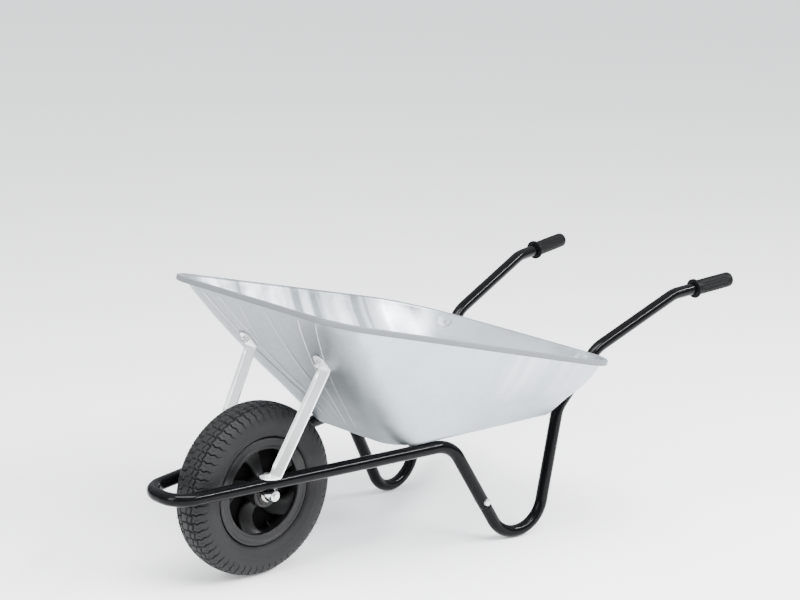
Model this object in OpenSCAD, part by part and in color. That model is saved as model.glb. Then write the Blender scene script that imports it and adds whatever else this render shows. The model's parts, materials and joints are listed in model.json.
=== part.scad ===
// Builders' wheelbarrow: pressed steel pan, tubular frame with a tipping hoop,
// swaged leg-and-handle tubes, folded front stays and one pneumatic wheel.
// X runs forward to the wheel, Y to the left, Z up. Z = 0 is the ground.
// Lengths are measured from the wheel axle, and the whole part is then moved
// back by shift_x so that its origin is the middle of its footprint.

/* [Wheel] */
// Outside diameter of the tyre
tyre_d = 356; // [350:1:362]
// Width of the tyre across the side walls
tyre_w = 88; // [84:1:92]
// Outside diameter of the rim flanges
rim_d = 224; // [222:1:228]
// Width over the rim flanges
rim_w = 68; // [66:1:70]
// Outside diameter of the hub
hub_d = 62; // [56:1:70]
// Width over the hub faces
hub_w = 90; // [86:1:90]
// Number of turbine blades in the wheel centre
blade_count = 5; // [4:1:6]

/* [Axle] */
// Diameter of the axle rod in its bushes
axle_d = 16; // [14:1:18]
// Diameter of the threaded ends of the axle
axle_end_d = 12; // [10:1:12]
// Thickness of the axle brackets
bracket_t = 4; // [3:0.5:5]
// Distance of the bracket bolts ahead of the axle
bracket_lead = 36; // [32:1:42]

/* [Frame tube] */
// Outside diameter of the front frame tube
tube_d = 27; // [26.5:0.5:28]
// Wall thickness of both tubes
tube_wall = 1.5; // [1.2:0.1:1.8]
// Half spacing of the rails level with the axle
rail_y = 92; // [90:1:96]
// Sideways spread of each rail for each unit of length
rail_taper = 0.18; // [0.17:0.01:0.2]
// Height of the rails' centre line level with the axle
rail_z = 218; // [212:1:224]
// Rise of the rails towards the rear for each unit of length
rail_rise = 0.036; // [0.03:0.002:0.04]
// Distance of the tip of the hoop ahead of the axle
hoop_x = 232; // [228:1:240]
// Distance of the front leg bends behind the axle
leg_x = 392; // [386:1:398]

/* [Legs and handles] */
// Outside diameter of the leg and handle tubes
handle_d = 26; // [25:0.5:26]
// Distance of the foot's crossing point behind the axle
foot_x = 597; // [590:1:604]
// Half spacing of the feet
foot_y = 203; // [200:1:208]
// Bend radius of the feet
foot_bend_r = 72; // [68:1:76]
// Distance of the top of the front leg's tube end from its bend
joint_drop = 175; // [170:1:180]
// Rear leg's top bend, behind the axle
knee_x = 677; // [674:1:682]
// Rear leg's top bend, height
knee_z = 266; // [264:1:268]
// First handle bend, behind the axle
elbow_x = 779; // [776:1:782]
// First handle bend, height
elbow_z = 383; // [380:1:386]
// Second handle bend, behind the axle
wrist_x = 997; // [990:1:1004]
// Second handle bend, height
wrist_z = 476; // [470:1:482]
// End of the handle tube, behind the axle
tip_x = 1160; // [1154:1:1166]
// End of the handle tube, height
tip_z = 490; // [486:1:494]

/* [Grips] */
// Outside diameter of the grips
grip_d = 33; // [31:1:36]
// Diameter of the thumb flange
grip_flange_d = 43; // [40:1:46]
// Length of each grip
grip_len = 112; // [106:1:118]

/* [Pan] */
// Thickness of the pressed sheet
pan_t = 1.5; // [1.2:0.1:2]
// Front edge of the rim, ahead of the axle
rim_front = 24; // [18:1:30]
// Rear edge of the rim, behind the axle
rim_rear = 754; // [750:1:756]
// Half width of the rim at the axle
rim_y = 273; // [266:1:280]
// Sideways spread of the rim for each unit of length
rim_taper = 0.105; // [0.09:0.005:0.12]
// Height of the rim at the axle
rim_z = 570; // [566:1:576]
// Slope of the rim down to the rear, in degrees
rim_slope = 14.3; // [14:0.1:14.6]
// Depth of the turned-down edge
lip_h = 9; // [8:1:11]
// Width of the flange around the rim
lip_w = 10; // [8:1:12]
// Front edge of the floor, behind the axle
floor_front = 246; // [240:1:252]
// Rear edge of the floor, behind the axle
floor_rear = 667; // [661:1:668]
// Half width of the floor's front edge
floor_y = 158; // [154:1:162]
// Sideways spread of the floor for each unit of length
floor_taper = 0.134; // [0.12:0.002:0.14]

/* [Hidden] */
$fn = 64;
eps = 0.5;

steel = "#c3c9cb";
zinc = "#d9dcd8";
enamel = "#15161a";
rubber = "#26272a";
plastic = "#1b1b1d";

// Fasteners
m8_d = 8;
m8_hole = 8.6;
m8_flats = 13;
m8_head_h = 5.3;
m8_nut_h = 6.5;
m8_washer_d = 17;
m8_washer_t = 1.6;
m12_flats = 19;
m12_nut_h = 10;
m12_washer_d = 22;
m12_washer_t = 2.5;
dome_washer_d = 24;
dome_washer_t = 2;

// Wheel and axle, along Y
wheel_r = tyre_d / 2;
axle_z = wheel_r;
bush_flange_t = 2;
bush_flange_d = 34;
bush_d = 25;
bush_l = 22;
running_gap = 0.05;
side_play = 0.4;
hub_face = hub_w / 2;
bush_face = hub_face + bush_flange_t;
ear_y = 52;
ear_out = ear_y + bracket_t;
axle_end = ear_out + m12_washer_t + m12_nut_h + 4;

// Footprint: the hoop's tip to the grips' ends
grip_run = unit([tip_x - wrist_x, 0, tip_z - wrist_z]);
grip_over = 6;
front_x = hoop_x + tube_d / 2;
back_x = tip_x + grip_over * grip_run[0];
shift_x = (back_x - front_x) / 2;

// Frame tube's centre line
rail_pitch = atan(rail_rise);
rail_turn = atan(rail_taper);
hoop_bend_r = 52;
leg_bend_r = 65;
knee_bend_r = 65;
elbow_bend_r = 75;
wrist_bend_r = 75;
stay_bolt_y = rail_y - rail_taper * bracket_lead;
handle_y0 = 115.2;
handle_taper = 0.1195;
spigot_l = 60;
collar = 0.3;
spigot_d = tube_d - 2 * tube_wall - 0.1;

leg_top = rail_point(-leg_x);
knee = handle_point(knee_x, knee_z);
foot_corner = [-foot_x, foot_y, level_foot(-145, 14)];
leg_dir = unit(foot_corner - leg_top);
leg_joint = leg_top + leg_dir * joint_drop;
joint_bolt = leg_joint - leg_dir * 14;
handle_run = [
    leg_joint, foot_corner, knee, handle_point(elbow_x, elbow_z),
    handle_point(wrist_x, wrist_z), handle_point(tip_x, tip_z)
];
handle_bends = [foot_bend_r, knee_bend_r, elbow_bend_r, wrist_bend_r];
frame_half = [rail_point(hoop_x), leg_top, leg_joint];

// Pan
rim_outer_front = rim_front - lip_w;
rim_outer_rear = rim_rear - lip_w;
pan_rim_y = rim_y - lip_w;
rim_front_r = 75;
rim_rear_r = 125;
floor_front_r = 92;
floor_rear_r = 30;
floor_edge_r = 22;
floor_z = rail_z + tube_d / 2 + 0.6;
wall_dir = unit(handle_run[3] - knee);
wall_side = unit(cross([0, 1, 0], wall_dir));
wall_gap = handle_d / 2 + 0.3;
handle_bolt_at = knee + (handle_run[3] - knee) * 0.72;

// Stay's top fixing on the front panel
stay_top_up = 0.6;
stay_top_y = 113;
stay_w = 32;
stay_t = 3;

function unit(v) = v / norm(v);
function mirror_y(p) = [p[0], -p[1], p[2]];
function flip(points) = [for (i = [len(points) - 1:-1:0]) mirror_y(points[i])];
function rail_point(x) = [x, rail_y - rail_taper * x, rail_z - rail_rise * x];
function handle_point(back, z) = [-back, handle_y0 + handle_taper * back, z];

// Centre of the bend at b on the way from a to c, and the lowest point of the tube round it
function bend_centre(a, b, c, r) =
    let (u = unit(a - b), v = unit(c - b))
    b + unit(u + v) * r / sin(acos(u * v) / 2);
function bend_low(a, b, c, r, tube_r) =
    let (n = unit(cross(a - b, c - b)))
    bend_centre(a, b, c, r)[2] - r * sqrt(1 - n[2] * n[2]) - tube_r;
// Height of the foot's corner that brings the tube down to the ground
function level_foot(z, tries) = tries == 0 ? z :
    level_foot(z - bend_low(leg_top, [-foot_x, foot_y, z], knee, foot_bend_r, handle_d / 2), tries - 1);

// Pan outlines: corner centres [x, y, radius] of a tapered rounded rectangle
function corner_y(x, half, taper, r) = half - taper * x - r * sqrt(1 + taper * taper);
function corners(front, rear, half, taper, front_r, rear_r) = [
    for (s = [1, -1]) each [
        [front - front_r, s * corner_y(front - front_r, half, taper, front_r), front_r],
        [-rear + rear_r, s * corner_y(-rear + rear_r, half, taper, rear_r), rear_r]
    ]
];

// Matrix that takes Z to the direction z at point p, with x as near as may be to hint
function axes(p, z, hint) =
    let (y = unit(cross(z, hint)), x = cross(y, z))
    [[x[0], y[0], z[0], p[0]], [x[1], y[1], z[1], p[1]], [x[2], y[2], z[2], p[2]], [0, 0, 0, 1]];

module place() {
    translate([shift_x, 0, 0]) children();
}

module both_sides() {
    children();
    mirror([0, 1, 0]) children();
}

// Round bar from a to b
module bar(a, b, d) {
    v = unit(b - a);
    multmatrix(axes(a, v, abs(v[1]) > 0.9 ? [1, 0, 0] : [0, 1, 0])) cylinder(h = norm(b - a), d = d);
}

// Bend at b on the way from a to c
module bend(a, b, c, r, d) {
    u = unit(b - a);
    v = unit(c - b);
    turn = acos(u * v);
    inward = unit(v - u * (u * v));
    start = b - u * r * tan(turn / 2);
    centre = start + inward * r;
    multmatrix(axes(centre, cross(-inward, u), -inward)) rotate_extrude(angle = turn) translate([r, 0]) circle(d = d);
}

function setback(a, b, c, r) = r * tan(acos(unit(b - a) * unit(c - b)) / 2);

// Bar along the points, bent at each inner one, and longer by extra at both ends. A thin collar
// covers each place where a straight meets a bend.
module bent_bar(points, radii, d, extra = 0) {
    last = len(points) - 1;
    cut = [
        0,
        for (i = [1:last - 1]) setback(points[i - 1], points[i], points[i + 1], radii[i - 1]),
        0
    ];
    for (i = [0:last - 1]) {
        v = unit(points[i + 1] - points[i]);
        start = points[i] + v * cut[i];
        end = points[i + 1] - v * cut[i + 1];
        bar(start + v * (i == 0 ? -extra : 1), end - v * (i == last - 1 ? -extra : 1), d);
        if (i > 0) bar(start - v, start + v * 3, d + collar);
        if (i < last - 1) bar(end - v * 3, end + v, d + collar);
    }
    for (i = [1:last - 1]) bend(points[i - 1], points[i], points[i + 1], radii[i - 1], d);
}

module hex_prism(flats, h) {
    cylinder(h = h, d = flats / cos(30), $fn = 6);
}

// Hexagon-headed bolt: head above Z = 0, shank below it
module hex_bolt(d, flats, head_h, l) {
    hex_prism(flats, head_h);
    translate([0, 0, -l]) cylinder(h = l + head_h / 2, d = d);
}

module hex_nut(d, flats, h) {
    difference() {
        hex_prism(flats, h);
        translate([0, 0, -eps]) cylinder(h = h + 2 * eps, d = d);
    }
}

module ring(d_out, d_in, h) {
    difference() {
        cylinder(h = h, d = d_out);
        translate([0, 0, -eps]) cylinder(h = h + 2 * eps, d = d_in);
    }
}

// Frame of a stay's foot bolt: origin on the rail's centre line, Z square to the rails
module at_foot_bolt() {
    p = rail_point(bracket_lead);
    translate(p) rotate([0, rail_pitch, 0]) children();
}

module at_axle() {
    translate([0, 0, axle_z]) rotate([-90, 0, 0]) children();
}

// ---- Pan ----

pan_bow = 8;
front_bow = 12;
side_bow = 10;
rear_bow = 6;
floor_corners = corners(-floor_front, floor_rear, floor_y - floor_taper * floor_front, floor_taper, floor_front_r, floor_rear_r);
rim_corners = corners(rim_outer_front, rim_outer_rear, pan_rim_y, rim_taper, rim_front_r, rim_rear_r);

function mix(a, b, f) = a + (b - a) * f;
function floor_level(i, up) =
    let (c = floor_corners[i]) [c[0], c[1], floor_z - rail_rise * c[0] + up];
// The rear edge of the rim is bowed out between its corners
rim_circles = concat(rim_corners, [
    for (q = [-0.5:0.5:0.5])
        [rim_corners[1][0] - rear_bow * (1 - q * q), rim_corners[1][1] * q, rim_corners[1][2]]
]);
function rim_level(c) = [c[0], c[1], rim_z + tan(rim_slope) * c[0]];
function wall_tilt(f) = mix(-rail_pitch, rim_slope, f);
// The walls bulge between the floor and the rim: the front forwards, the rear corners sideways
function bulge(i, f) = 4 * f * (1 - f) * (i % 2 == 0 ? [front_bow, 0, 0] : [0, i == 1 ? side_bow : -side_bow, 0]);
function wall_centre(i, f) = mix(floor_level(i, floor_edge_r), rim_level(rim_corners[i]), f) + bulge(i, f);
function wall_r(i, f) = mix(floor_corners[i][2], rim_corners[i][2], f) + 4 * pan_bow * f * (1 - f);
function wall_out(f) = [cos(wall_tilt(f)), 0, sin(wall_tilt(f))];
// Outside of the front panel, at the fraction f of the way up from the floor
function front_point(f) = wall_centre(0, f) + wall_out(f) * wall_r(0, f);

// Solid bowl: the outside of the pan, or its inside when drawn with the sheet's thickness
module pan_bowl(sheet, over) {
    hull() {
        for (i = [0:3]) {
            translate(floor_level(i, sheet)) rotate([0, rail_pitch, 0])
                floor_corner(floor_corners[i][2] - sheet, floor_edge_r - sheet);
            for (f = [0.2:0.2:0.8])
                translate(wall_centre(i, f)) rotate([0, -wall_tilt(f), 0])
                    cylinder(h = 0.2, r = wall_r(i, f) - sheet, center = true, $fn = 48);
        }
        for (c = rim_circles)
            translate(rim_level(c)) rotate([0, -rim_slope, 0]) translate([0, 0, -1])
                cylinder(h = 1 + over, r = c[2] - sheet, $fn = 48);
    }
}

// Pressed corner of the floor, with a rounded lower edge
module floor_corner(r, edge) {
    rotate_extrude($fn = 48) polygon([
        [0, 0],
        for (a = [0:15:90]) [r - edge + edge * sin(a), edge - edge * cos(a)],
        [0, edge]
    ]);
}

module rim_outline(extra) {
    hull() for (c = rim_circles) translate([c[0] / cos(rim_slope), c[1]]) circle(r = c[2] + extra, $fn = 48);
}

module pan() {
    color(steel) place() difference() {
        union() {
            pan_bowl(0, 0);
            translate([0, 0, rim_z]) rotate([0, -rim_slope, 0]) rolled_lip();
            both_sides() at_handle_bolt() translate([0, 0, wall_gap]) cylinder(h = 12, d = boss_d);
        }
        pan_bowl(pan_t, 12);
        both_sides() at_handle_bolt() {
            translate([0, 0, wall_gap + pan_t]) cylinder(h = 30, d = boss_d - 2 * pan_t);
            cylinder(h = 60, d = m8_hole);
        }
        both_sides() at_stay_top() translate([0, 0, -20]) cylinder(h = 40, d = m8_hole);
    }
}

// Flange round the rim with its edge turned down
module rolled_lip() {
    difference() {
        translate([0, 0, -lip_h]) linear_extrude(lip_h) rim_outline(lip_w);
        translate([0, 0, -lip_h - eps]) linear_extrude(lip_h + eps - pan_t) rim_outline(lip_w - pan_t);
    }
}

// ---- Tubes ----

module front_frame() {
    centre_line = concat([leg_joint, leg_top, rail_point(hoop_x)], flip([leg_joint, leg_top, rail_point(hoop_x)]));
    radii = [leg_bend_r, hoop_bend_r, hoop_bend_r, leg_bend_r];
    color(enamel) place() difference() {
        bent_bar(centre_line, radii, tube_d);
        bent_bar(centre_line, radii, tube_d - 2 * tube_wall, eps);
        both_sides() {
            at_foot_bolt() translate([0, 0, -30]) cylinder(h = 60, d = m8_hole);
            at_joint_bolt() translate([0, 0, -30]) cylinder(h = 60, d = m8_hole);
        }
    }
}

module leg_handle() {
    color(enamel) place() difference() {
        union() {
            bent_bar(handle_run, handle_bends, handle_d);
            bar(leg_joint - leg_dir * spigot_l, leg_joint + leg_dir * 5, spigot_d);
        }
        bent_bar(handle_run, handle_bends, handle_d - 2 * tube_wall, -5);
        bar(handle_run[5] - grip_run_3d * 10, handle_run[5] + grip_run_3d, handle_d - 2 * tube_wall);
        bar(leg_joint - leg_dir * (spigot_l + eps), leg_joint + leg_dir * 8, spigot_d - 2 * tube_wall);
        at_joint_bolt() translate([0, 0, -30]) cylinder(h = 60, d = m8_hole);
        at_handle_bolt() translate([0, 0, -30]) cylinder(h = 60, d = m8_hole);
    }
}

module left_leg_handle() {
    leg_handle();
}

module right_leg_handle() {
    mirror([0, 1, 0]) leg_handle();
}

// ---- Grips ----

grip_run_3d = unit(handle_run[5] - handle_run[4]);

// Moulded sleeve with a thumb flange at the front and a closed, rounded end
module grip() {
    r = grip_d / 2;
    bore = handle_d / 2 + 0.05;
    flange_t = 5;
    end_r = 9;
    depth = grip_len - grip_over;
    color(plastic) place()
        multmatrix(axes(handle_run[5] - grip_run_3d * depth, grip_run_3d, [0, 1, 0]))
        rotate_extrude() polygon([
            [bore, 0],
            [grip_flange_d / 2 - 1.5, 0],
            [grip_flange_d / 2, 1.5],
            [grip_flange_d / 2, flange_t - 1.5],
            [grip_flange_d / 2 - 1.5, flange_t],
            [r + 1.5, flange_t],
            [r, flange_t + 1.5],
            for (a = [0:15:90]) [r - end_r + end_r * cos(a), grip_len - end_r + end_r * sin(a)],
            [0, grip_len],
            [0, depth + 0.3],
            [bore, depth + 0.3]
        ]);
}

module left_grip() {
    grip();
}

module right_grip() {
    mirror([0, 1, 0]) grip();
}

// ---- Front stays ----

stay_foot_r = 16;
stay_foot_back = 12;
stay_out = 8;
stay_base = rail_point(bracket_lead - stay_foot_back) + [0, stay_out, tube_d / 2 + 0.4];
stay_top_mid = front_point(stay_top_up);
stay_slope = front_point(stay_top_up + 0.04) - front_point(stay_top_up - 0.04);
stay_normal = unit(cross([0, 1, 0], stay_slope));
stay_top_bolt = [stay_top_mid[0], stay_top_y, stay_top_mid[2]];
stay_tab_l = 22;
stay_head = stay_top_bolt + stay_normal * (stay_t + 0.5) - unit([stay_slope[0], 0, stay_slope[2]]) * stay_tab_l;
fold_w = 8;
fold_angle = 40;

// Folded strip: a foot on the rail, a creased web and a tab on the front panel. The flange is on
// the web's right-hand edge in both stays.
module stay(side) {
    web = stay_head - stay_base;
    color(zinc) place() difference() {
        union() {
            at_foot_bolt() translate([0, 0, tube_d / 2]) stay_foot();
            multmatrix(axes(stay_base, unit(web), [0, 1, 0])) linear_extrude(norm(web)) scale([side, 1]) stay_section();
            at_stay_top() translate([0, 0, 0.5]) stay_tab();
        }
        at_foot_bolt() translate([0, 0, 5]) cylinder(h = 30, d = m8_hole);
        at_stay_top() translate([0, 0, -5]) cylinder(h = 30, d = m8_hole);
    }
}

module stay_section() {
    inner = -stay_w / 2 + fold_w;
    polygon([
        [stay_w / 2, stay_t / 2],
        [stay_w / 2, -stay_t / 2],
        [inner + 1, -stay_t / 2],
        [inner + 1 - fold_w * cos(fold_angle), -stay_t / 2 - fold_w * sin(fold_angle)],
        [inner - 1 - fold_w * cos(fold_angle), -stay_t / 2 - fold_w * sin(fold_angle) + stay_t - 1],
        [inner - 1, stay_t / 2]
    ]);
}

module stay_foot() {
    cylinder(h = stay_t, r = stay_foot_r);
    translate([-stay_foot_back - 4, stay_out - stay_w / 2, 0]) cube([stay_foot_back + 4, stay_w, stay_t]);
}

module stay_tab() {
    cylinder(h = stay_t, r = stay_foot_r);
    translate([-stay_tab_l - 4, -stay_foot_r, 0]) cube([stay_tab_l + 4, 2 * stay_foot_r, stay_t]);
}

module left_stay() {
    stay(1);
}

module right_stay() {
    mirror([0, 1, 0]) stay(-1);
}

// ---- Axle and its brackets ----

module axle_bracket() {
    r = tube_d / 2;
    ear_r = 14;
    color(enamel) place() difference() {
        union() {
            at_foot_bolt() translate([-ear_r, ear_y - stay_bolt_y, -r - bracket_t])
                cube([2 * ear_r, stay_bolt_y - ear_y + ear_r, bracket_t]);
            translate([0, ear_out, 0]) rotate([90, 0, 0]) linear_extrude(bracket_t) hull() {
                translate([0, axle_z]) circle(r = ear_r + 1);
                translate([bracket_lead - ear_r, rail_z - r - 6]) square([2 * ear_r, 4]);
            }
        }
        at_foot_bolt() translate([0, 0, -40]) cylinder(h = 40, d = m8_hole);
        at_axle() cylinder(h = axle_end, d = axle_end_d + 0.3);
    }
}

module left_axle_bracket() {
    axle_bracket();
}

module right_axle_bracket() {
    mirror([0, 1, 0]) axle_bracket();
}

module axle() {
    color(zinc) place() at_axle() {
        translate([0, 0, -ear_y]) cylinder(h = 2 * ear_y, d = axle_d);
        translate([0, 0, -axle_end]) cylinder(h = 2 * axle_end, d = axle_end_d);
    }
}

module axle_spacers() {
    start = bush_face + side_play;
    color(zinc) place() both_sides() at_axle() translate([0, 0, start])
        ring(axle_d + 8, axle_d + 0.2, ear_y - start);
}

module axle_washers() {
    color(zinc) place() both_sides() at_axle() translate([0, 0, ear_out])
        ring(m12_washer_d, axle_end_d + 0.5, m12_washer_t);
}

module axle_nuts() {
    color(zinc) place() both_sides() at_axle() translate([0, 0, ear_out + m12_washer_t])
        hex_nut(axle_end_d, m12_flats, m12_nut_h);
}

// ---- Wheel ----

rim_r = rim_d / 2;
rim_half = rim_w / 2;
barrel_r = rim_r - 21;
web_t = 5;
blade_w = 26;
seat_r = rim_r - 10.7;
well_r = rim_r - 17;
valve_angle = -176;
valve_inner_r = rim_r - 50;
window_d = 28;

// Mirrors the [radius, width] points of half a section about the wheel's middle plane
function whole_section(half) = concat(half, [for (i = [len(half) - 1:-1:0]) [half[i][0], -half[i][1]]]);

module wheel_centre() {
    color(plastic) place() at_axle() difference() {
        union() {
            rotate_extrude() polygon(whole_section([
                [barrel_r, 26], [barrel_r - 2, rim_half - 1], [rim_r - 4, rim_half], [rim_r, rim_half - 1.5],
                [rim_r, rim_half - 4], [seat_r + 1.2, rim_half - 5], [seat_r, rim_half - 7],
                [seat_r - 0.8, 15], [well_r, 11]
            ]));
            translate([0, 0, -hub_face]) cylinder(h = hub_w, d = hub_d);
            wheel_web();
            for (k = [0:blade_count - 1]) rotate(k * 360 / blade_count - 68)
                translate([0, 0, -blade_w / 2]) linear_extrude(blade_w) blade_outline();
        }
        translate([0, 0, -hub_face - eps]) cylinder(h = hub_w + 2 * eps, d = bush_d - 4);
        both_sides_z() translate([0, 0, hub_face - bush_l]) cylinder(h = bush_l + eps, d = bush_d + 0.04);
        rotate([0, 90, valve_angle]) translate([0, 0, valve_inner_r]) cylinder(h = rim_r, d = 9);
    }
}

// Thin disc between hub and barrel, with a window round the valve
module wheel_web() {
    difference() {
        translate([0, 0, -web_t / 2]) cylinder(h = web_t, r = barrel_r + 1);
        rotate(valve_angle) translate([valve_inner_r + window_d / 2, 0, -web_t]) cylinder(h = 2 * web_t, d = window_d);
    }
}

module both_sides_z() {
    children();
    mirror([0, 0, 1]) children();
}

// Crescent blade from the hub to the barrel, swept back towards its outer end
module blade_outline() {
    inner = hub_d / 2 - 3;
    outer = barrel_r + 1;
    function sweep(r) = 22 - 25 * pow((r - inner) / (outer - inner), 2);
    function spread(r) = 17 + 4 * pow((outer - r) / (outer - inner), 2);
    function edge(side) = [
        for (i = [0:6]) let (r = mix(inner, outer, i / 6), a = sweep(r) + side * spread(r)) [r * cos(a), r * sin(a)]
    ];
    low = edge(-1);
    high = edge(1);
    polygon(concat(low, [for (i = [6:-1:0]) high[i]]));
}

module tyre() {
    r = wheel_r;
    w = tyre_w / 2;
    color(rubber) place() at_axle() rotate_extrude() polygon(concat(
        whole_section([
            [r - 10.5, 0], [r - 11.5, 14], [r - 15, 25], [r - 21, 32], [r - 30, w - 8],
            [r - 41, w - 6.5], [r - 51, w - 8], [r - 60, w - 13], [r - 68, 21], [seat_r + 2.7, 15.5],
            [seat_r - 0.3, 15.5], [seat_r + 0.6, rim_half - 7.2], [seat_r + 1.6, rim_half - 5.4],
            [rim_r + 0.6, rim_half - 4.2], [rim_r + 1, w - 9.5], [rim_r + 4, w - 5.5], [rim_r + 12, w - 1.5],
            [r - 43, w], [r - 31, w - 1.5], [r - 20, w - 5], [r - 11, w - 9.5], [r - 5.5, w - 16],
            [r - 2, w - 25], [r - 0.4, 10], [r, 0]
        ])
    ));
}

module inner_tube() {
    color("#3a3a3c") place() at_axle() difference() {
        rotate_extrude() translate([wheel_r - 45, 0]) circle(r = 30.4);
        rotate_extrude() translate([wheel_r - 45, 0]) circle(r = 27.9);
        rotate([0, 90, valve_angle]) translate([0, 0, wheel_r - 80]) cylinder(h = 12, d = 7);
    }
}

module valve_stem() {
    color(rubber) place() at_axle() rotate([0, 90, valve_angle]) translate([0, 0, valve_inner_r + 10])
        ring(6.9, 3, 36);
}

module valve_cap() {
    color(plastic) place() at_axle() rotate([0, 90, valve_angle]) translate([0, 0, valve_inner_r + 4]) difference() {
        cylinder(h = 14, d = 9);
        translate([0, 0, 6]) cylinder(h = 9, d = 7);
    }
}

module bush() {
    color("#e6e4da") place() at_axle() difference() {
        union() {
            translate([0, 0, hub_face - bush_l]) cylinder(h = bush_l + eps, d = bush_d);
            translate([0, 0, hub_face]) cylinder(h = bush_flange_t, d = bush_flange_d);
        }
        translate([0, 0, hub_face - bush_l - eps])
            cylinder(h = bush_l + bush_flange_t + 2 * eps, d = axle_d + 2 * running_gap);
    }
}

module left_bush() {
    bush();
}

module right_bush() {
    mirror([0, 1, 0]) bush();
}

// ---- Fasteners ----

boss_d = 34;

module at_joint_bolt() {
    out = unit([0, 1, 0] - leg_dir * leg_dir[1]);
    multmatrix(axes(joint_bolt, out, -leg_dir)) children();
}

// Z points from the handle tube into the pan, square to the rear wall
module at_handle_bolt() {
    multmatrix(axes(handle_bolt_at, wall_side, [0, 1, 0])) children();
}

// Z points out of the front panel, X up it
module at_stay_top() {
    multmatrix(axes(stay_top_bolt, stay_normal, stay_slope)) children();
}

module stay_foot_bolts() {
    color(zinc) place() both_sides() at_foot_bolt() translate([0, 0, tube_d / 2 + stay_t])
        hex_bolt(m8_d, m8_flats, m8_head_h, tube_d + stay_t + bracket_t + m8_washer_t + m8_nut_h + 3);
}

module stay_foot_washers() {
    color(zinc) place() both_sides() at_foot_bolt() translate([0, 0, -tube_d / 2 - bracket_t - m8_washer_t])
        ring(m8_washer_d, m8_hole, m8_washer_t);
}

module stay_foot_nuts() {
    color(zinc) place() both_sides() at_foot_bolt()
        translate([0, 0, -tube_d / 2 - bracket_t - m8_washer_t - m8_nut_h]) hex_nut(m8_d, m8_flats, m8_nut_h);
}

module stay_top_bolts() {
    color(zinc) place() both_sides() at_stay_top() translate([0, 0, -pan_t - 1 - m8_washer_t]) mirror([0, 0, 1])
        hex_bolt(m8_d, m8_flats, m8_head_h, 22);
}

module stay_top_washers() {
    color(zinc) place() both_sides() at_stay_top() translate([0, 0, -pan_t - 1 - m8_washer_t])
        ring(m8_washer_d, m8_hole, m8_washer_t);
}

module stay_top_nuts() {
    color(zinc) place() both_sides() at_stay_top() translate([0, 0, stay_t + 0.5])
        hex_nut(m8_d, m8_flats, m8_nut_h);
}

module leg_joint_bolts() {
    color(zinc) place() both_sides() at_joint_bolt() translate([0, 0, tube_d / 2])
        hex_bolt(m8_d, m8_flats, m8_head_h, tube_d + m8_nut_h + 3);
}

module leg_joint_nuts() {
    color(zinc) place() both_sides() at_joint_bolt() translate([0, 0, -tube_d / 2 - m8_nut_h])
        hex_nut(m8_d, m8_flats, m8_nut_h);
}

module pan_handle_bolts() {
    color(zinc) place() both_sides() at_handle_bolt() translate([0, 0, wall_gap + pan_t + dome_washer_t])
        hex_bolt(m8_d, m8_flats, m8_head_h, wall_gap + pan_t + dome_washer_t + handle_d / 2 + m8_nut_h + 3);
}

module pan_handle_washers() {
    color(zinc) place() both_sides() at_handle_bolt() translate([0, 0, wall_gap + pan_t])
        ring(dome_washer_d, m8_hole, dome_washer_t);
}

module pan_handle_nuts() {
    color(zinc) place() both_sides() at_handle_bolt() translate([0, 0, -handle_d / 2 - m8_nut_h])
        hex_nut(m8_d, m8_flats, m8_nut_h);
}

pan();
front_frame();
left_leg_handle();
right_leg_handle();
left_grip();
right_grip();
left_stay();
right_stay();
left_axle_bracket();
right_axle_bracket();
axle();
axle_spacers();
axle_nuts();
axle_washers();
tyre();
inner_tube();
wheel_centre();
left_bush();
right_bush();
valve_stem();
valve_cap();
stay_foot_bolts();
stay_foot_nuts();
stay_foot_washers();
stay_top_bolts();
stay_top_nuts();
stay_top_washers();
leg_joint_bolts();
leg_joint_nuts();
pan_handle_bolts();
pan_handle_washers();
pan_handle_nuts();
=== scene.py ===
"""Looks of the wheelbarrow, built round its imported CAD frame."""

import json
import math
import random

import bmesh
import bpy
import numpy as np
from mathutils import Matrix, Vector


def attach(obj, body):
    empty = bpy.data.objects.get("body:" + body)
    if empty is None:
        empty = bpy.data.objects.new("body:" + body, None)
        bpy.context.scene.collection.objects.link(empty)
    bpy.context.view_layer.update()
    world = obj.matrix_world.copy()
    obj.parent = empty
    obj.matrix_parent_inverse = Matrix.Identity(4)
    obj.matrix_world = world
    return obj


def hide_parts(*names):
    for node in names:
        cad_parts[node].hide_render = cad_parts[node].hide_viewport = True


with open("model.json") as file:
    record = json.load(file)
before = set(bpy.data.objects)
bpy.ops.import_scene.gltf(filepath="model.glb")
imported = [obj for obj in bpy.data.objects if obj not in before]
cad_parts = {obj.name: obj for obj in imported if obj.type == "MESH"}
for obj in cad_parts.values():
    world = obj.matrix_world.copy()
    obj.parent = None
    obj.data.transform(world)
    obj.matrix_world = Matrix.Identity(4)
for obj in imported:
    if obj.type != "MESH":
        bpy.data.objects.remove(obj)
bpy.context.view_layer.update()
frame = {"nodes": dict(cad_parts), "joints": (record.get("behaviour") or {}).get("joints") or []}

MM = 0.001
AXLE = Vector(frame["joints"][0]["pos_m"])
WHEEL_R = AXLE.z / MM
random.seed(7)


def at(x, y, z):
    """A point in metres from millimetres ahead of the axle, to the left, and above the ground."""
    return Vector((AXLE.x + x * MM, y * MM, z * MM))


# ---------------------------------------------------------------- materials


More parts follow.
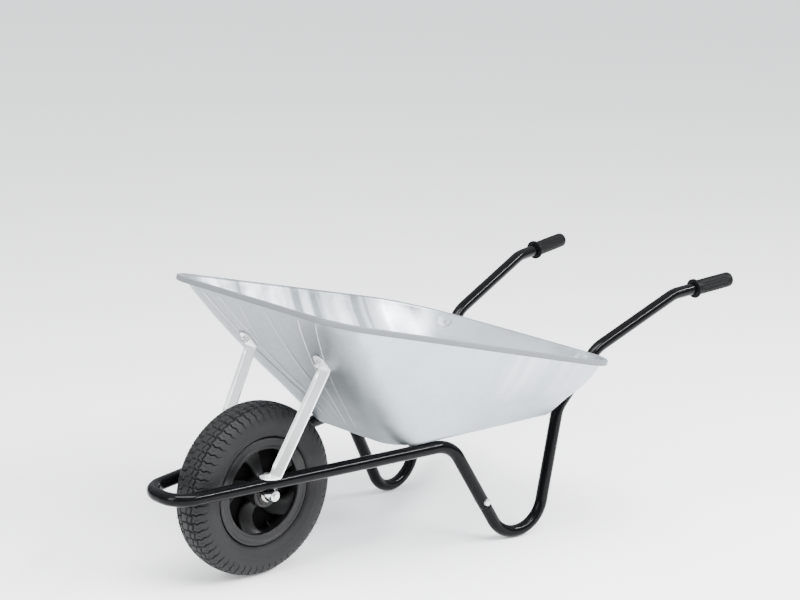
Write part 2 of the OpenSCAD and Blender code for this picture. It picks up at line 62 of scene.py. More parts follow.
class Nodes:
    """Short calls that add nodes to a node tree."""

    def __init__(self, tree):
        self.tree = tree

    def node(self, kind, inputs=(), **settings):
        made = self.tree.nodes.new(kind)
        for key, value in settings.items():
            setattr(made, key, value)
        for key, value in dict(inputs).items():
            if isinstance(value, bpy.types.NodeSocket):
                self.tree.links.new(value, made.inputs[key])
            else:
                made.inputs[key].default_value = value
        return made

    def ramp(self, value, *stops):
        made = self.node("ShaderNodeValToRGB", {"Fac": value})
        items = made.color_ramp.elements
        while len(items) < len(stops):
            items.new(0.5)
        for item, (place, colour) in zip(items, stops):
            item.position = place
            item.color = (*colour, 1)
        return made.outputs["Color"]

    def mix(self, factor, first, second, blend="MIX"):
        made = self.node("ShaderNodeMix", data_type="RGBA", blend_type=blend)
        for slot, value in ((0, factor), (6, first), (7, second)):
            if isinstance(value, bpy.types.NodeSocket):
                self.tree.links.new(value, made.inputs[slot])
            else:
                made.inputs[slot].default_value = value if slot == 0 else (*value, 1)
        return made.outputs[2]


class Shader(Nodes):
    """A procedural material: a Principled shader and the nodes in front of it."""

    def __init__(self, name, **sockets):
        self.material = bpy.data.materials.new(name)
        self.material.use_nodes = True
        super().__init__(self.material.node_tree)
        self.bsdf = self.tree.nodes["Principled BSDF"]
        self.coords = self.node("ShaderNodeTexCoord").outputs["Object"]
        for key, value in sockets.items():
            self.bsdf.inputs[key.replace("_", " ")].default_value = value

    def stretch(self, x, y, z):
        return self.node("ShaderNodeMapping", {"Vector": self.coords, "Scale": (x, y, z)}).outputs["Vector"]

    def noise(self, scale, detail=3.0, roughness=0.5, vector=None, distortion=0.0):
        inputs = {"Vector": vector or self.coords, "Scale": scale, "Detail": detail}
        inputs |= {"Roughness": roughness, "Distortion": distortion}
        return self.node("ShaderNodeTexNoise", inputs).outputs["Fac"]

    def cells(self, scale, vector):
        inputs = {"Vector": vector, "Scale": scale}
        return self.node("ShaderNodeTexVoronoi", inputs, feature="F1").outputs["Color"]

    def remap(self, value, low, high, out_low, out_high):
        inputs = {"Value": value, "From Min": low, "From Max": high, "To Min": out_low, "To Max": out_high}
        return self.node("ShaderNodeMapRange", inputs).outputs["Result"]

    def maths(self, kind, first, second=0.0):
        return self.node("ShaderNodeMath", {0: first, 1: second}, operation=kind).outputs[0]

    def feed(self, **links):
        for key, value in links.items():
            self.tree.links.new(value, self.bsdf.inputs[key.replace("_", " ")])

    def bump(self, height, strength, distance, before=None):
        inputs = {"Height": height, "Strength": strength, "Distance": distance}
        if before is not None:
            inputs["Normal"] = before
        normal = self.node("ShaderNodeBump", inputs).outputs["Normal"]
        self.tree.links.new(normal, self.bsdf.inputs["Normal"])
        return normal


def galvanised():
    """Zinc-dipped sheet: faint spangle and clouding, and painted light from the pan's colour attribute: a
    painted lighter inside with painted reflection streaks, white and glowing painted highlights on the
    creases, painted shade on the front panel, and a rolled edge painted dark and dull as painted shade.
    """
    s = Shader("galvanised_sheet")
    wander = s.node("ShaderNodeTexNoise", {"Vector": s.coords, "Scale": 30.0}).outputs["Color"]
    spangle = s.cells(95, s.mix(0.05, s.coords, wander))
    tone = s.node("ShaderNodeSeparateColor", {"Color": spangle}).outputs[0]
    marks = s.node("ShaderNodeAttribute", attribute_name="marks").outputs
    split = s.node("ShaderNodeSeparateColor", {"Color": marks["Color"]}).outputs
    inside, painted_crease_highlight, edge = split[0], split[1], split[2]
    cloud = s.noise(5.5, 4, 0.55, distortion=0.4)
    broad = s.noise(30, 1.0, 0.4, vector=s.stretch(1, 0.03, 0.03))
    fine = s.noise(120, 2, 0.5, vector=s.stretch(1, 1, 0.03))
    base = s.ramp(cloud, (0.3, (0.40, 0.45, 0.485)), (0.7, (0.49, 0.54, 0.57)))
    base = s.mix(s.remap(tone, 0, 1, 0, 0.12), base, (0.34, 0.40, 0.44))
    base = s.mix(s.remap(fine, 0.5, 0.75, 0, 0.16), base, (0.30, 0.345, 0.38))
    # painted light: red makes the inner wall lighter, then streaks it darker and paler as painted reflections
    base = s.mix(s.maths("MULTIPLY", inside, 0.55), base, (0.66, 0.70, 0.72))
    dark = s.maths("MULTIPLY", inside, s.remap(broad, 0.54, 0.66, 0, 0.75))
    pale = s.maths("MULTIPLY", inside, s.remap(broad, 0.47, 0.36, 0, 0.75))
    base = s.mix(dark, base, (0.14, 0.17, 0.19))
    base = s.mix(pale, base, (0.86, 0.90, 0.92))
    # painted shade: blue makes the rolled lip dark, and with lines 167 and 169 dull and non-metallic
    base = s.mix(s.maths("MULTIPLY", edge, 0.98), base, (0.10, 0.108, 0.114))
    # painted shade: alpha darkens the front panel
    base = s.mix(s.maths("MULTIPLY", marks["Alpha"], 0.62), base, (0.18, 0.195, 0.205))
    # painted highlight: green makes the creases white and less metallic
    base = s.mix(painted_crease_highlight, base, (1.0, 1.0, 1.0))
    rough = s.maths("ADD", s.remap(cloud, 0.3, 0.7, 0.40, 0.50), s.remap(tone, 0, 1, -0.03, 0.05))
    metallic = s.maths("MULTIPLY", s.remap(painted_crease_highlight, 0, 1, 1.0, 0.25), s.remap(edge, 0, 1, 1.0, 0.0))
    s.feed(Base_Color=base, Roughness=rough, Metallic=metallic)
    s.feed(Specular_IOR_Level=s.remap(edge, 0, 1, 0.5, 0.04))
    # painted highlight: green also makes the creases glow with emission
    s.feed(Emission_Color=base, Emission_Strength=s.remap(painted_crease_highlight, 0.1, 1, 0, 0.35))
    first = s.bump(s.noise(7, 2), 0.3, 0.004)
    s.bump(s.noise(420, 2), 0.05, 0.0004, first)
    return s.material


def zinc(name, metallic, low, high):
    """Bright zinc plate on strip, bolts and nuts."""
    s = Shader(name, Metallic=metallic)
    cloud = s.noise(38, 4, 0.6)
    grain = s.noise(260, 3, 0.6, vector=s.stretch(1, 1, 0.12))
    base = s.ramp(cloud, (0.3, low), (0.75, high))
    rough = s.maths("ADD", s.remap(cloud, 0.3, 0.7, 0.30, 0.38), s.remap(grain, 0.3, 0.7, -0.03, 0.05))
    s.feed(Base_Color=base, Roughness=rough)
    s.bump(grain, 0.08, 0.0004)
    return s.material


def enamel():
    """Thick gloss black enamel with a little orange peel, dust and dulled patches."""
    s = Shader("black_enamel", Specular_IOR_Level=0.085)
    patches = s.noise(9, 4, 0.6)
    dust = s.noise(700, 2, 0.7)
    base = s.mix(s.remap(dust, 0.62, 0.8, 0, 0.35), (0.002, 0.002, 0.0024), (0.02, 0.02, 0.021))
    s.feed(Base_Color=base, Roughness=s.remap(patches, 0.3, 0.75, 0.06, 0.15))
    s.bump(s.noise(170, 2, 0.5), 0.05, 0.0006)
    return s.material


def rubber(name, pale, grain_scale):
    """Moulded rubber: dark grey, mottled, with bloom and a fine grain."""
    s = Shader(name, Specular_IOR_Level=0.2)
    bloom = s.noise(11, 5, 0.62)
    grain = s.noise(grain_scale, 3, 0.6)
    dark = tuple(c * 0.55 for c in pale)
    base = s.ramp(bloom, (0.28, dark), (0.72, pale))
    base = s.mix(s.remap(grain, 0.55, 0.8, 0, 0.4), base, tuple(c * 1.7 for c in pale))
    s.feed(Base_Color=base, Roughness=s.remap(bloom, 0.25, 0.75, 0.50, 0.68))
    s.bump(grain, 0.16, 0.0005)
    return s.material


def plastic(name, colour, rough, grain_scale=900, grain=0.12, gloss=0.28):
    """Injection-moulded plastic with a fine spark-eroded grain and slight flow marks."""
    s = Shader(name, Specular_IOR_Level=gloss)
    flow = s.noise(16, 4, 0.55, distortion=0.8)
    fine = s.noise(grain_scale, 2, 0.6)
    base = s.ramp(flow, (0.3, colour), (0.75, tuple(min(1.0, c * 1.45) for c in colour)))
    s.feed(Base_Color=base, Roughness=s.remap(flow, 0.3, 0.7, rough - 0.05, rough + 0.07))
    s.bump(fine, grain, 0.0004)
    return s.material


def wheel_plastic():
    """Moulded wheel centre: satin faces, and painted shade that makes the pockets towards its middle plane
    dark and dull.
    """
    s = Shader("wheel_plastic")
    width = s.node("ShaderNodeSeparateXYZ", {"Vector": s.coords}).outputs["Y"]
    # painted shade: darker, rougher and less specular towards the middle plane
    painted_pocket_shade = s.remap(s.maths("ABSOLUTE", width), 0.006, 0.024, 1, 0)
    flow = s.noise(16, 4, 0.55, distortion=0.8)
    face = s.ramp(flow, (0.3, (0.0042, 0.0042, 0.0046)), (0.75, (0.0075, 0.0075, 0.008)))
    rough = s.maths("ADD", s.remap(flow, 0.3, 0.7, 0.3, 0.4), s.maths("MULTIPLY", painted_pocket_shade, 0.35))
    s.feed(
        Base_Color=s.mix(painted_pocket_shade, face, (0.0008, 0.0008, 0.0009)),
        Roughness=rough,
        Specular_IOR_Level=s.remap(painted_pocket_shade, 0, 1, 0.2, 0.04),
    )
    s.bump(s.noise(900, 2, 0.6), 0.12, 0.0004)
    return s.material


def hub_steel():
    """Turned steel of the axle, with fine rings round it."""
    s = Shader("axle_steel", Metallic=1.0)
    lines = s.noise(120, 3, 0.6, vector=s.stretch(1, 0.05, 1))
    s.feed(
        Base_Color=s.ramp(lines, (0.3, (0.55, 0.55, 0.54)), (0.7, (0.74, 0.74, 0.72))),
        Roughness=s.remap(lines, 0.3, 0.7, 0.24, 0.4),
    )
    return s.material


SHEET = galvanised()
ZINC = zinc("bright_zinc", 0.7, (0.93, 0.94, 0.945), (0.98, 0.98, 0.975))
BOLT_ZINC = zinc("bolt_zinc", 1.0, (0.50, 0.52, 0.53), (0.68, 0.69, 0.69))
ENAMEL = enamel()
TYRE = rubber("tyre_rubber", (0.0112, 0.0112, 0.012), 520)
BUTYL = rubber("butyl_rubber", (0.03, 0.03, 0.031), 700)
WHEEL = wheel_plastic()
GRIP = plastic("grip_plastic", (0.0032, 0.0032, 0.0035), 0.4, 700, 0.1, 0.05)
NYLON = plastic("nylon", (0.66, 0.64, 0.58), 0.42)
STEEL = hub_steel()

# Finish of a piece: material, CAD body and slot
BLACK_TUBE = (ENAMEL, "barrow", "black_enamel")
GALVANISED = (SHEET, "barrow", "galvanised_sheet")
PLATED_STRIP = (ZINC, "barrow", "bright_zinc")
PLATED_BOLT = (BOLT_ZINC, "barrow", "bright_zinc")
GRIP_PLASTIC = (GRIP, "barrow", "grip_plastic")
TYRE_RUBBER = (TYRE, "wheel", "tyre_rubber")
WHEEL_PLASTIC = (WHEEL, "wheel", "wheel_plastic")
SIDES = ((1, "left"), (-1, "right"))

# ---------------------------------------------------------------- mesh helpers


def add_piece(name, solid, finish, node, sharp=35):
    """A mesh piece made of a solid. finish is its material, body and slot; it stands for one CAD node."""
    material, body, slot = finish
    mesh = bpy.data.meshes.new(name)
    mesh.from_pydata([tuple(v) for v in solid.verts], [], [tuple(f) for f in solid.faces])
    bm = bmesh.new()
    bm.from_mesh(mesh)
    bmesh.ops.recalc_face_normals(bm, faces=bm.faces)
    bm.to_mesh(mesh)
    bm.free()
    mesh.polygons.foreach_set("use_smooth", [True] * len(mesh.polygons))
    mesh.set_sharp_from_angle(angle=math.radians(sharp))
    mesh.materials.append(material)
    piece = bpy.data.objects.new(name, mesh)
    bpy.context.scene.collection.objects.link(piece)
    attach(piece, body)
    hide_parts(node)
    return piece


class Solid:
    """Collects points and faces of a piece made of several closed parts."""

    def __init__(self):
        self.verts, self.faces = [], []

    def rings(self, rings, caps=False, loop=False):
        """Quads between closed rings; caps fill both ends, loop joins the last ring to the first."""
        start, columns = len(self.verts), len(rings[0])
        for ring in rings:
            self.verts.extend(Vector(p) for p in ring)
        last = start + (len(rings) - 1) * columns
        for r in range(start, last, columns):
            for c in range(columns):
                a, b = r + c, r + (c + 1) % columns
                self.faces.append((a, b, b + columns, a + columns))
        if loop:
            for c in range(columns):
                d = (c + 1) % columns
                self.faces.append((last + c, last + d, start + d, start + c))
        if caps:
            self.faces.append(tuple(start + c for c in reversed(range(columns))))
            self.faces.append(tuple(last + c for c in range(columns)))

    def add(self, verts, faces):
        start = len(self.verts)
        self.verts.extend(Vector(v) for v in verts)
        self.faces += [tuple(start + i for i in f) for f in faces]

    def move(self, matrix):
        self.verts = [matrix @ v for v in self.verts]

    def on_side(self, side):
        """The solid is built on the left; side -1 takes it across to the right."""
        if side < 0:
            self.verts = [flip(v) for v in self.verts]
        return self


def flip(p):
    return Vector((p.x, -p.y, p.z))


def frame_matrix(origin, z, hint):
    """Matrix that takes Z to the direction z at origin, with X as near as may be to hint."""
    z = Vector(z).normalized()
    y = z.cross(Vector(hint)).normalized()
    x = y.cross(z)
    return Matrix((*zip(x, y, z, origin), (0, 0, 0, 1)))


def route(points, radii, arc_step=4.0, straight_step=0.02):
    """Points along straight runs joined by round bends, in metres."""
    made = [points[0]]
    for i in range(1, len(points) - 1):
        a, b, c, r = points[i - 1], points[i], points[i + 1], radii[i - 1]
        u, v = (b - a).normalized(), (c - b).normalized()
        turn = u.angle(v)
        start = b - u * r * math.tan(turn / 2)
        inward = (v - u * u.dot(v)).normalized()
        centre = start + inward * r
        steps = max(2, math.ceil(math.degrees(turn) / arc_step))
        made += between(made[-1], start, straight_step)
        for k in range(steps + 1):
            a_k = turn * k / steps
            made.append(centre + (u * math.sin(a_k) - inward * math.cos(a_k)) * r)
    made += between(made[-1], points[-1], straight_step)
    made.append(points[-1])
    return made


def between(a, b, step):
    count = int((b - a).length / step)
    return [a.lerp(b, k / (count + 1)) for k in range(1, count + 1)]


def tangents_of(path):
    end = len(path) - 1
    return [(path[min(i + 1, end)] - path[max(i - 1, 0)]).normalized() for i in range(len(path))]


def sweep(solid, path, radius, sides):
    """Round bar along a path; radius is a function of the distance along it."""
    tangents = tangents_of(path)
    side = tangents[0].orthogonal().normalized()
    rings, travelled = [], 0.0
    for i, (p, t) in enumerate(zip(path, tangents)):
        travelled += (p - path[i - 1]).length if i else 0.0
        side = (side - t * side.dot(t)).normalized()
        up = t.cross(side)
        r = radius(travelled)
        rings.append([p + (side * math.cos(a) + up * math.sin(a)) * r for a in angles(sides)])
    solid.rings(rings, caps=True)


def angles(count):
    return [2 * math.pi * k / count for k in range(count)]


def lathe(solid, profile, sides, wobble=None, loop=False, caps=False):
    """Turned form about Z from (radius, height) in millimetres; wobble(i, angle) adds metres to a radius."""
    rings = []
    for i, (r, h) in enumerate(profile):
        ring = []
        for a in angles(sides):
            q = r * MM + (wobble(i, a) if wobble else 0)
            ring.append(Vector((q * math.cos(a), q * math.sin(a), h * MM)))
        rings.append(ring)
    solid.rings(rings, loop=loop, caps=caps)


def arc(centre, r, start, end, steps):
    """(x, y) points of an arc, angles in degrees."""
    turns = [math.radians(start + (end - start) * k / steps) for k in range(steps + 1)]
    return [(centre[0] + r * math.cos(a), centre[1] + r * math.sin(a)) for a in turns]


def smooth(x, low, high):
    t = np.clip((x - low) / (high - low), 0, 1)
    return t * t * (3 - 2 * t)


# ---------------------------------------------------------------- dimensions, in millimetres

RAIL_Y, RAIL_TAPER, RAIL_Z, RAIL_RISE = 92, 0.18, 218, 0.036
HOOP_X, LEG_X, HOOP_BEND, LEG_BEND = 232, 392, 52, 65
TUBE_R, HANDLE_R = 13.5, 13.0
HANDLE_Y, HANDLE_TAPER = 115.2, 0.1195
# The front and rear legs would meet at this corner, below the ground, if the foot were not bent round
FOOT = (-597, 203, -106.305)
JOINT_DROP, SPIGOT_L, SPIGOT_R = 175, 30, 11.9
HANDLE_BENDS = (72, 65, 75, 75)
BRACKET_LEAD = 36


def rail(x):
    return at(x, RAIL_Y - RAIL_TAPER * x, RAIL_Z - RAIL_RISE * x)


def handle(back, z):
    return at(-back, HANDLE_Y + HANDLE_TAPER * back, z)


LEG_TOP = rail(-LEG_X)
FOOT_CORNER = at(*FOOT)
LEG_DIR = (FOOT_CORNER - LEG_TOP).normalized()
LEG_JOINT = LEG_TOP + LEG_DIR * JOINT_DROP * MM
KNEE, ELBOW, WRIST, TIP = handle(677, 266), handle(779, 383), handle(997, 476), handle(1160, 490)
GRIP_DIR = (TIP - WRIST).normalized()

# ---------------------------------------------------------------- tubes


def front_frame():
    solid = Solid()
    line = [LEG_JOINT, LEG_TOP, rail(HOOP_X)]
    line += [flip(p) for p in reversed(line)]
    path = route(line, [r * MM for r in (LEG_BEND, HOOP_BEND, HOOP_BEND, LEG_BEND)], 3.0)
    length = sum((b - a).length for a, b in zip(path, path[1:]))
    path[1:1] = [path[0].lerp(path[1], k / 8) for k in range(1, 8)]
    path[-1:-1] = [path[-2].lerp(path[-1], k / 8) for k in range(1, 8)]
    bevel, bevel_run = 0.9, 1.6

    def radius(s):
        end = min(s, length - s) / MM
        return (TUBE_R - bevel * max(0.0, 1 - end / bevel_run) ** 2) * MM

    sweep(solid, path, radius, 56)
    add_piece("front_frame_tube", solid, BLACK_TUBE, "front_frame")


def leg_handle(side, name):
    """One tube from the joint in the front leg, where its end is swaged down, round the foot to the grip."""
    line = [LEG_JOINT - LEG_DIR * SPIGOT_L * MM, FOOT_CORNER, KNEE, ELBOW, WRIST, TIP]
    path = route(line, [r * MM for r in HANDLE_BENDS], 3.0)

    def radius(s):
        return (SPIGOT_R + (HANDLE_R - SPIGOT_R) * float(smooth(s / MM, 29.5, 33))) * MM

    solid = Solid()
    path[1:1] = [path[0].lerp(path[1], k / 6) for k in range(1, 6)]
    shoulder = [LEG_JOINT + LEG_DIR * k * 0.5 * MM for k in range(-2, 9)]
    head = [p for p in path if (p - path[0]).length < 28.5 * MM]
    tail = [p for p in path if (p - path[0]).length > 35.5 * MM or path.index(p) > len(head) + 12]
    sweep(solid, head + shoulder + tail, radius, 52)
    add_piece(f"{name}_leg_tube", solid.on_side(side), BLACK_TUBE, f"{name}_leg_handle")


front_frame()
for side, name in SIDES:
    leg_handle(side, name)

# ---------------------------------------------------------------- grips

GRIP_LEN, GRIP_OVER, GRIP_R, FLANGE_R = 112, 6, 16.5, 21.5


def grip(side, name):
    """Moulded grip: thumb flange, fine flutes between two plain bands, rounded end with a moulded ring."""
    flutes = 22
    profile = [(13.1, 0.0), (18.5, 0.0)]
    profile += arc((FLANGE_R - 1.6, 1.6), 1.6, -90, 0, 5)
    profile += arc((FLANGE_R - 1.8, 4.2), 1.8, 0, 90, 5)
    profile += arc((GRIP_R + 2.2, 8.2), 2.2, 270, 180, 5)
    profile += [(GRIP_R + 0.3 * math.sin(math.pi * k / 30), 9 + 3.0 * k) for k in range(31)]
    profile += arc((GRIP_R - 8, GRIP_LEN - 8), 8, 6, 66, 8)
    end_ring = ((8.2, 1.0), (7.4, 0.5), (6.4, 1.1), (2.0, 1.3), (0.02, 1.3))
    profile += [(r, GRIP_LEN - back) for r, back in end_ring]
    heights = [h for _, h in profile]

    def flute(i, a):
        zone = float(smooth(heights[i], 13, 19) * (1 - smooth(heights[i], 92, 99)))
        return -0.75 * zone * (0.5 - 0.5 * math.cos(flutes * a)) ** 3 * MM

    solid = Solid()
    lathe(solid, profile, flutes * 10, flute)
    solid.move(frame_matrix(TIP - GRIP_DIR * (GRIP_LEN - GRIP_OVER) * MM, GRIP_DIR, (0, 1, 0)))
    add_piece(f"{name}_moulded_grip", solid.on_side(side), GRIP_PLASTIC, f"{name}_grip")


for side, name in SIDES:
    grip(side, name)

# ---------------------------------------------------------------- pan

PAN_T = 1.5
FLOOR_FRONT, FLOOR_REAR, FLOOR_Y, FLOOR_TAPER = 246, 667, 158, 0.134
FLOOR_R, EDGE_R = (92, 30), 22
RIM_FRONT, RIM_REAR, RIM_Y, RIM_TAPER, RIM_Z = 14, 744, 263, 0.105, 570
RIM_SLOPE = math.tan(math.radians(14.3))
RIM_R, PAN_BOW, FRONT_BOW, SIDE_BOW, REAR_BOW = (75, 125), 8, 12, 10, 6
FLOOR_Z = RAIL_Z + TUBE_R + 0.6
LIP_W, LIP_H = 10, 9


def corner_y(x, half, taper, r):
    return half - taper * x - r * math.hypot(1, taper)


FLOOR_HALF = FLOOR_Y - FLOOR_TAPER * FLOOR_FRONT
FLOOR_CIRCLES = [
    (x, corner_y(x, FLOOR_HALF, FLOOR_TAPER, r), FLOOR_Z - RAIL_RISE * x, r)
    for x, r in ((-FLOOR_FRONT - FLOOR_R[0], FLOOR_R[0]), (-FLOOR_REAR + FLOOR_R[1], FLOOR_R[1]))
]
RIM_CIRCLES = [
    (x, corner_y(x, RIM_Y, RIM_TAPER, r), RIM_Z + RIM_SLOPE * x, r)
    for x, r in ((RIM_FRONT - RIM_R[0], RIM_R[0]), (-RIM_REAR + RIM_R[1], RIM_R[1]))
]

# Columns of half the pan, from the middle of the front to the middle of the back: zone and place in it.
# The creases' own zones, CREASE_REACH to each side of them, run from -1 to 1, the others from 0 to 1.
CREASE_REACH = 4.5
COLUMNS = [("front", t) for t in np.linspace(0, 1, 52)[:-1]]
COLUMNS += [("inner", t) for t in np.linspace(-1, 1, 13)]
COLUMNS += [("strip", t) for t in np.linspace(0, 1, 18)[1:-1]]
COLUMNS += [("outer", t) for t in np.linspace(-1, 1, 13)]
for zone, count in (("edge", 8), ("arc_front", 30), ("side", 62), ("arc_rear", 30), ("rear", 50)):
    COLUMNS += [(zone, t) for t in np.linspace(0, 1, count)[1:]]


def crease_inner(f):
    return np.maximum(8 + 125 * f, 14)


def crease_outer(f):
    return 34 + 153 * f


def outline(circles, f, bow=0.0):
    """Half outline round two corner circles (x, y, z, r): points and outward directions, in millimetres."""
    (x1, y1, z1, r1), (x2, y2, z2, r2) = circles
    slope = (z1 - z2) / (x1 - x2)
    shrink = 1 / math.hypot(1, slope)
    s1, s2 = x1 / shrink, x2 / shrink
    d = Vector((s2 - s1, y2 - y1))
    u = d.normalized()
    k = (r1 - r2) / d.length
    n = u * k + Vector((u.y, -u.x)) * math.sqrt(1 - k * k)
    turn = math.atan2(n.y, n.x)
    low, high, reach = crease_inner(f), crease_outer(f), CREASE_REACH
    across_front = {
        "front": lambda t: t * (low - reach),
        "inner": lambda t: low + t * reach,
        "strip": lambda t: (low + reach) * (1 - t) + (high - reach) * t,
        "outer": lambda t: high + t * reach,
        "edge": lambda t: (high + reach) * (1 - t) + y1 * t,
    }
    points, ways = [], []
    for zone, t in COLUMNS:
        if zone in across_front:
            way = Vector((1.0, 0.0))
            s, y = s1 + r1, across_front[zone](t)
        elif zone == "arc_front":
            way = Vector((math.cos(turn * t), math.sin(turn * t)))
            s, y = s1 + r1 * way.x, y1 + r1 * way.y
        elif zone == "side":
            way = n
            s = (s1 + r1 * n.x) * (1 - t) + (s2 + r2 * n.x) * t
            y = (y1 + r1 * n.y) * (1 - t) + (y2 + r2 * n.y) * t
        elif zone == "arc_rear":
            a = turn * (1 - t) + math.pi * t
            way = Vector((math.cos(a), math.sin(a)))
            s, y = s2 + r2 * way.x, y2 + r2 * way.y
        else:
            way = Vector((-1.0, 0.0))
            s, y = s2 - r2, y2 * (1 - t)
        across = max(0.0, 1 - (y / max(y2, 1)) ** 2) if zone == "rear" else 0.0
        x = s * shrink - bow * across
        points.append((x, y, z1 + slope * (x - x1)))
        ways.append((way.x * shrink, way.y, way.x * shrink * slope))
    return np.array(points), np.array(ways), np.array((-slope, 0, 1)) * shrink


def wall_circles(f):
    """Corner circles of the wall, front and rear, a part f of the way from the floor to the rim."""
    made = []
    for i in (0, 1):
        a, b = FLOOR_CIRCLES[i], RIM_CIRCLES[i]
        bulge = 4 * f * (1 - f)
        made.append(
            (
                a[0] * (1 - f) + b[0] * f + (FRONT_BOW * bulge if i == 0 else 0),
                a[1] * (1 - f) + b[1] * f + (SIDE_BOW * bulge if i == 1 else 0),
                (a[2] + EDGE_R) * (1 - f) + b[2] * f,
                a[3] * (1 - f) + b[3] * f + PAN_BOW * bulge,
            )
        )
    return made


# Parts of the wall's height: straight up to the first, to meet the fillet; bent to the lip past the second
STRAIGHT_UP_TO, WALL_TOP = 0.2, 0.978


def pan_rows():
    """Rings of the sheet's outer face, from the middle of the floor to the curled edge, with their levels.

    A level is -2 to -1 on the floor, -1 to 0 in the fillet, 0 to 1 on the wall, 2 to 3 in the bend to the
    lip, and 3 to 4 round the lip.
    """
    rows, levels = [], []
    core = [(x, y, z + EDGE_R, r - EDGE_R) for x, y, z, r in FLOOR_CIRCLES]
    heart, ways, up = outline(core, 0)
    joined = outline(wall_circles(STRAIGHT_UP_TO), STRAIGHT_UP_TO, REAR_BOW * STRAIGHT_UP_TO)[0]
    reach_out, reach_up = ((joined - heart) * ways).sum(1), (joined - heart) @ up
    steepest = np.arctan2(reach_up, reach_out) + np.arcsin(EDGE_R / np.hypot(reach_out, reach_up))

    def fillet(a):
        return heart + EDGE_R * (ways * np.sin(a)[:, None] - np.cos(a)[:, None] * up)

    edge = fillet(steepest * 0)
    middle, smallest = 470, 0.004
    centre = np.array((-middle, 0, FLOOR_Z + RAIL_RISE * middle))
    for q in np.linspace(0, 1, 60)[:-1]:
        rows.append(centre + (edge - centre) * (smallest + (1 - smallest) * q))
        levels.append(-2 + q)
    for q in np.linspace(0, 1, 12)[:-1]:
        rows.append(fillet(steepest * q))
        levels.append(-1 + q)
    for f in np.linspace(0, WALL_TOP, 112):
        if f < STRAIGHT_UP_TO:
            rows.append(fillet(steepest) + (joined - fillet(steepest)) * f / STRAIGHT_UP_TO)
        else:
            rows.append(outline(wall_circles(f), f, REAR_BOW * f)[0])
        levels.append(f)
    rim, ways, up = outline(wall_circles(1), 1, REAR_BOW)
    last = rows[-1] - rim
    out0 = (last * ways).sum(1)[:, None]
    up0 = last @ up
    knee_out, bend_out = out0 * 0.25, 3.2
    for t in np.linspace(0.15, 1, 7):
        o = (1 - t) ** 2 * out0 + 2 * t * (1 - t) * knee_out + t * t * bend_out
        h = (1 - t) ** 2 * up0[:, None] + 2 * t * (1 - t) * -PAN_T + t * t * -PAN_T
        rows.append(rim + ways * o + up * h)
        levels.append(2 + t)
    bead = arc((LIP_W - 2.2, -2.2), 2.2, 100, 0, 8) + [(LIP_W, -4.4)]
    bead += arc((LIP_W - 1.4, -LIP_H + 1.0), 1.4, 0, -110, 7)
    bead += [(LIP_W - 3.9, -LIP_H + 2.4), (LIP_W - 4.6, -LIP_H + 4.0)]
    for k, (o, h) in enumerate(bead):
        rows.append(rim + ways * o + up * h)
        levels.append(3 + min(k, 8) / 8)
    return np.array(rows), np.array(levels)


def whole(rows):
    """Both halves of every ring, as one closed ring."""
    right = rows[:, -2:0:-1].copy()
    right[:, :, 1] *= -1
    return np.concatenate((rows, right), axis=1)


def ring_normals(rows):
    """Outward normals of a grid of closed rings."""
    along = np.gradient(rows, axis=0)
    around = np.roll(rows, -1, axis=1) - np.roll(rows, 1, axis=1)
    n = np.cross(around, along)
    return n / np.maximum(np.linalg.norm(n, axis=2, keepdims=True), 1e-9)


def bead_line(distance, width):
    return np.exp(-((distance / width) ** 2))


HANDLE_BOLT_AT = KNEE + (ELBOW - KNEE) * 0.72
WALL_WAY = (ELBOW - KNEE).normalized()
WALL_SIDE = Vector((0, 1, 0)).cross(WALL_WAY).normalized()


def front_point(f):
    """Middle of the front panel's outer face at a level, in millimetres from the axle."""
    c = wall_circles(f)
    slope = (c[0][2] - c[1][2]) / (c[0][0] - c[1][0])
    shrink = 1 / math.hypot(1, slope)
    return Vector((c[0][0] + c[0][3] * shrink, 0, c[0][2] + c[0][3] * shrink * slope))


STAY_UP, STAY_TOP_Y = 0.6, 113
STAY_SLOPE = (front_point(STAY_UP + 0.04) - front_point(STAY_UP - 0.04)).normalized()
STAY_NORMAL = Vector((0, 1, 0)).cross(STAY_SLOPE).normalized()
STAY_TOP = front_point(STAY_UP) + Vector((0, STAY_TOP_Y, 0))


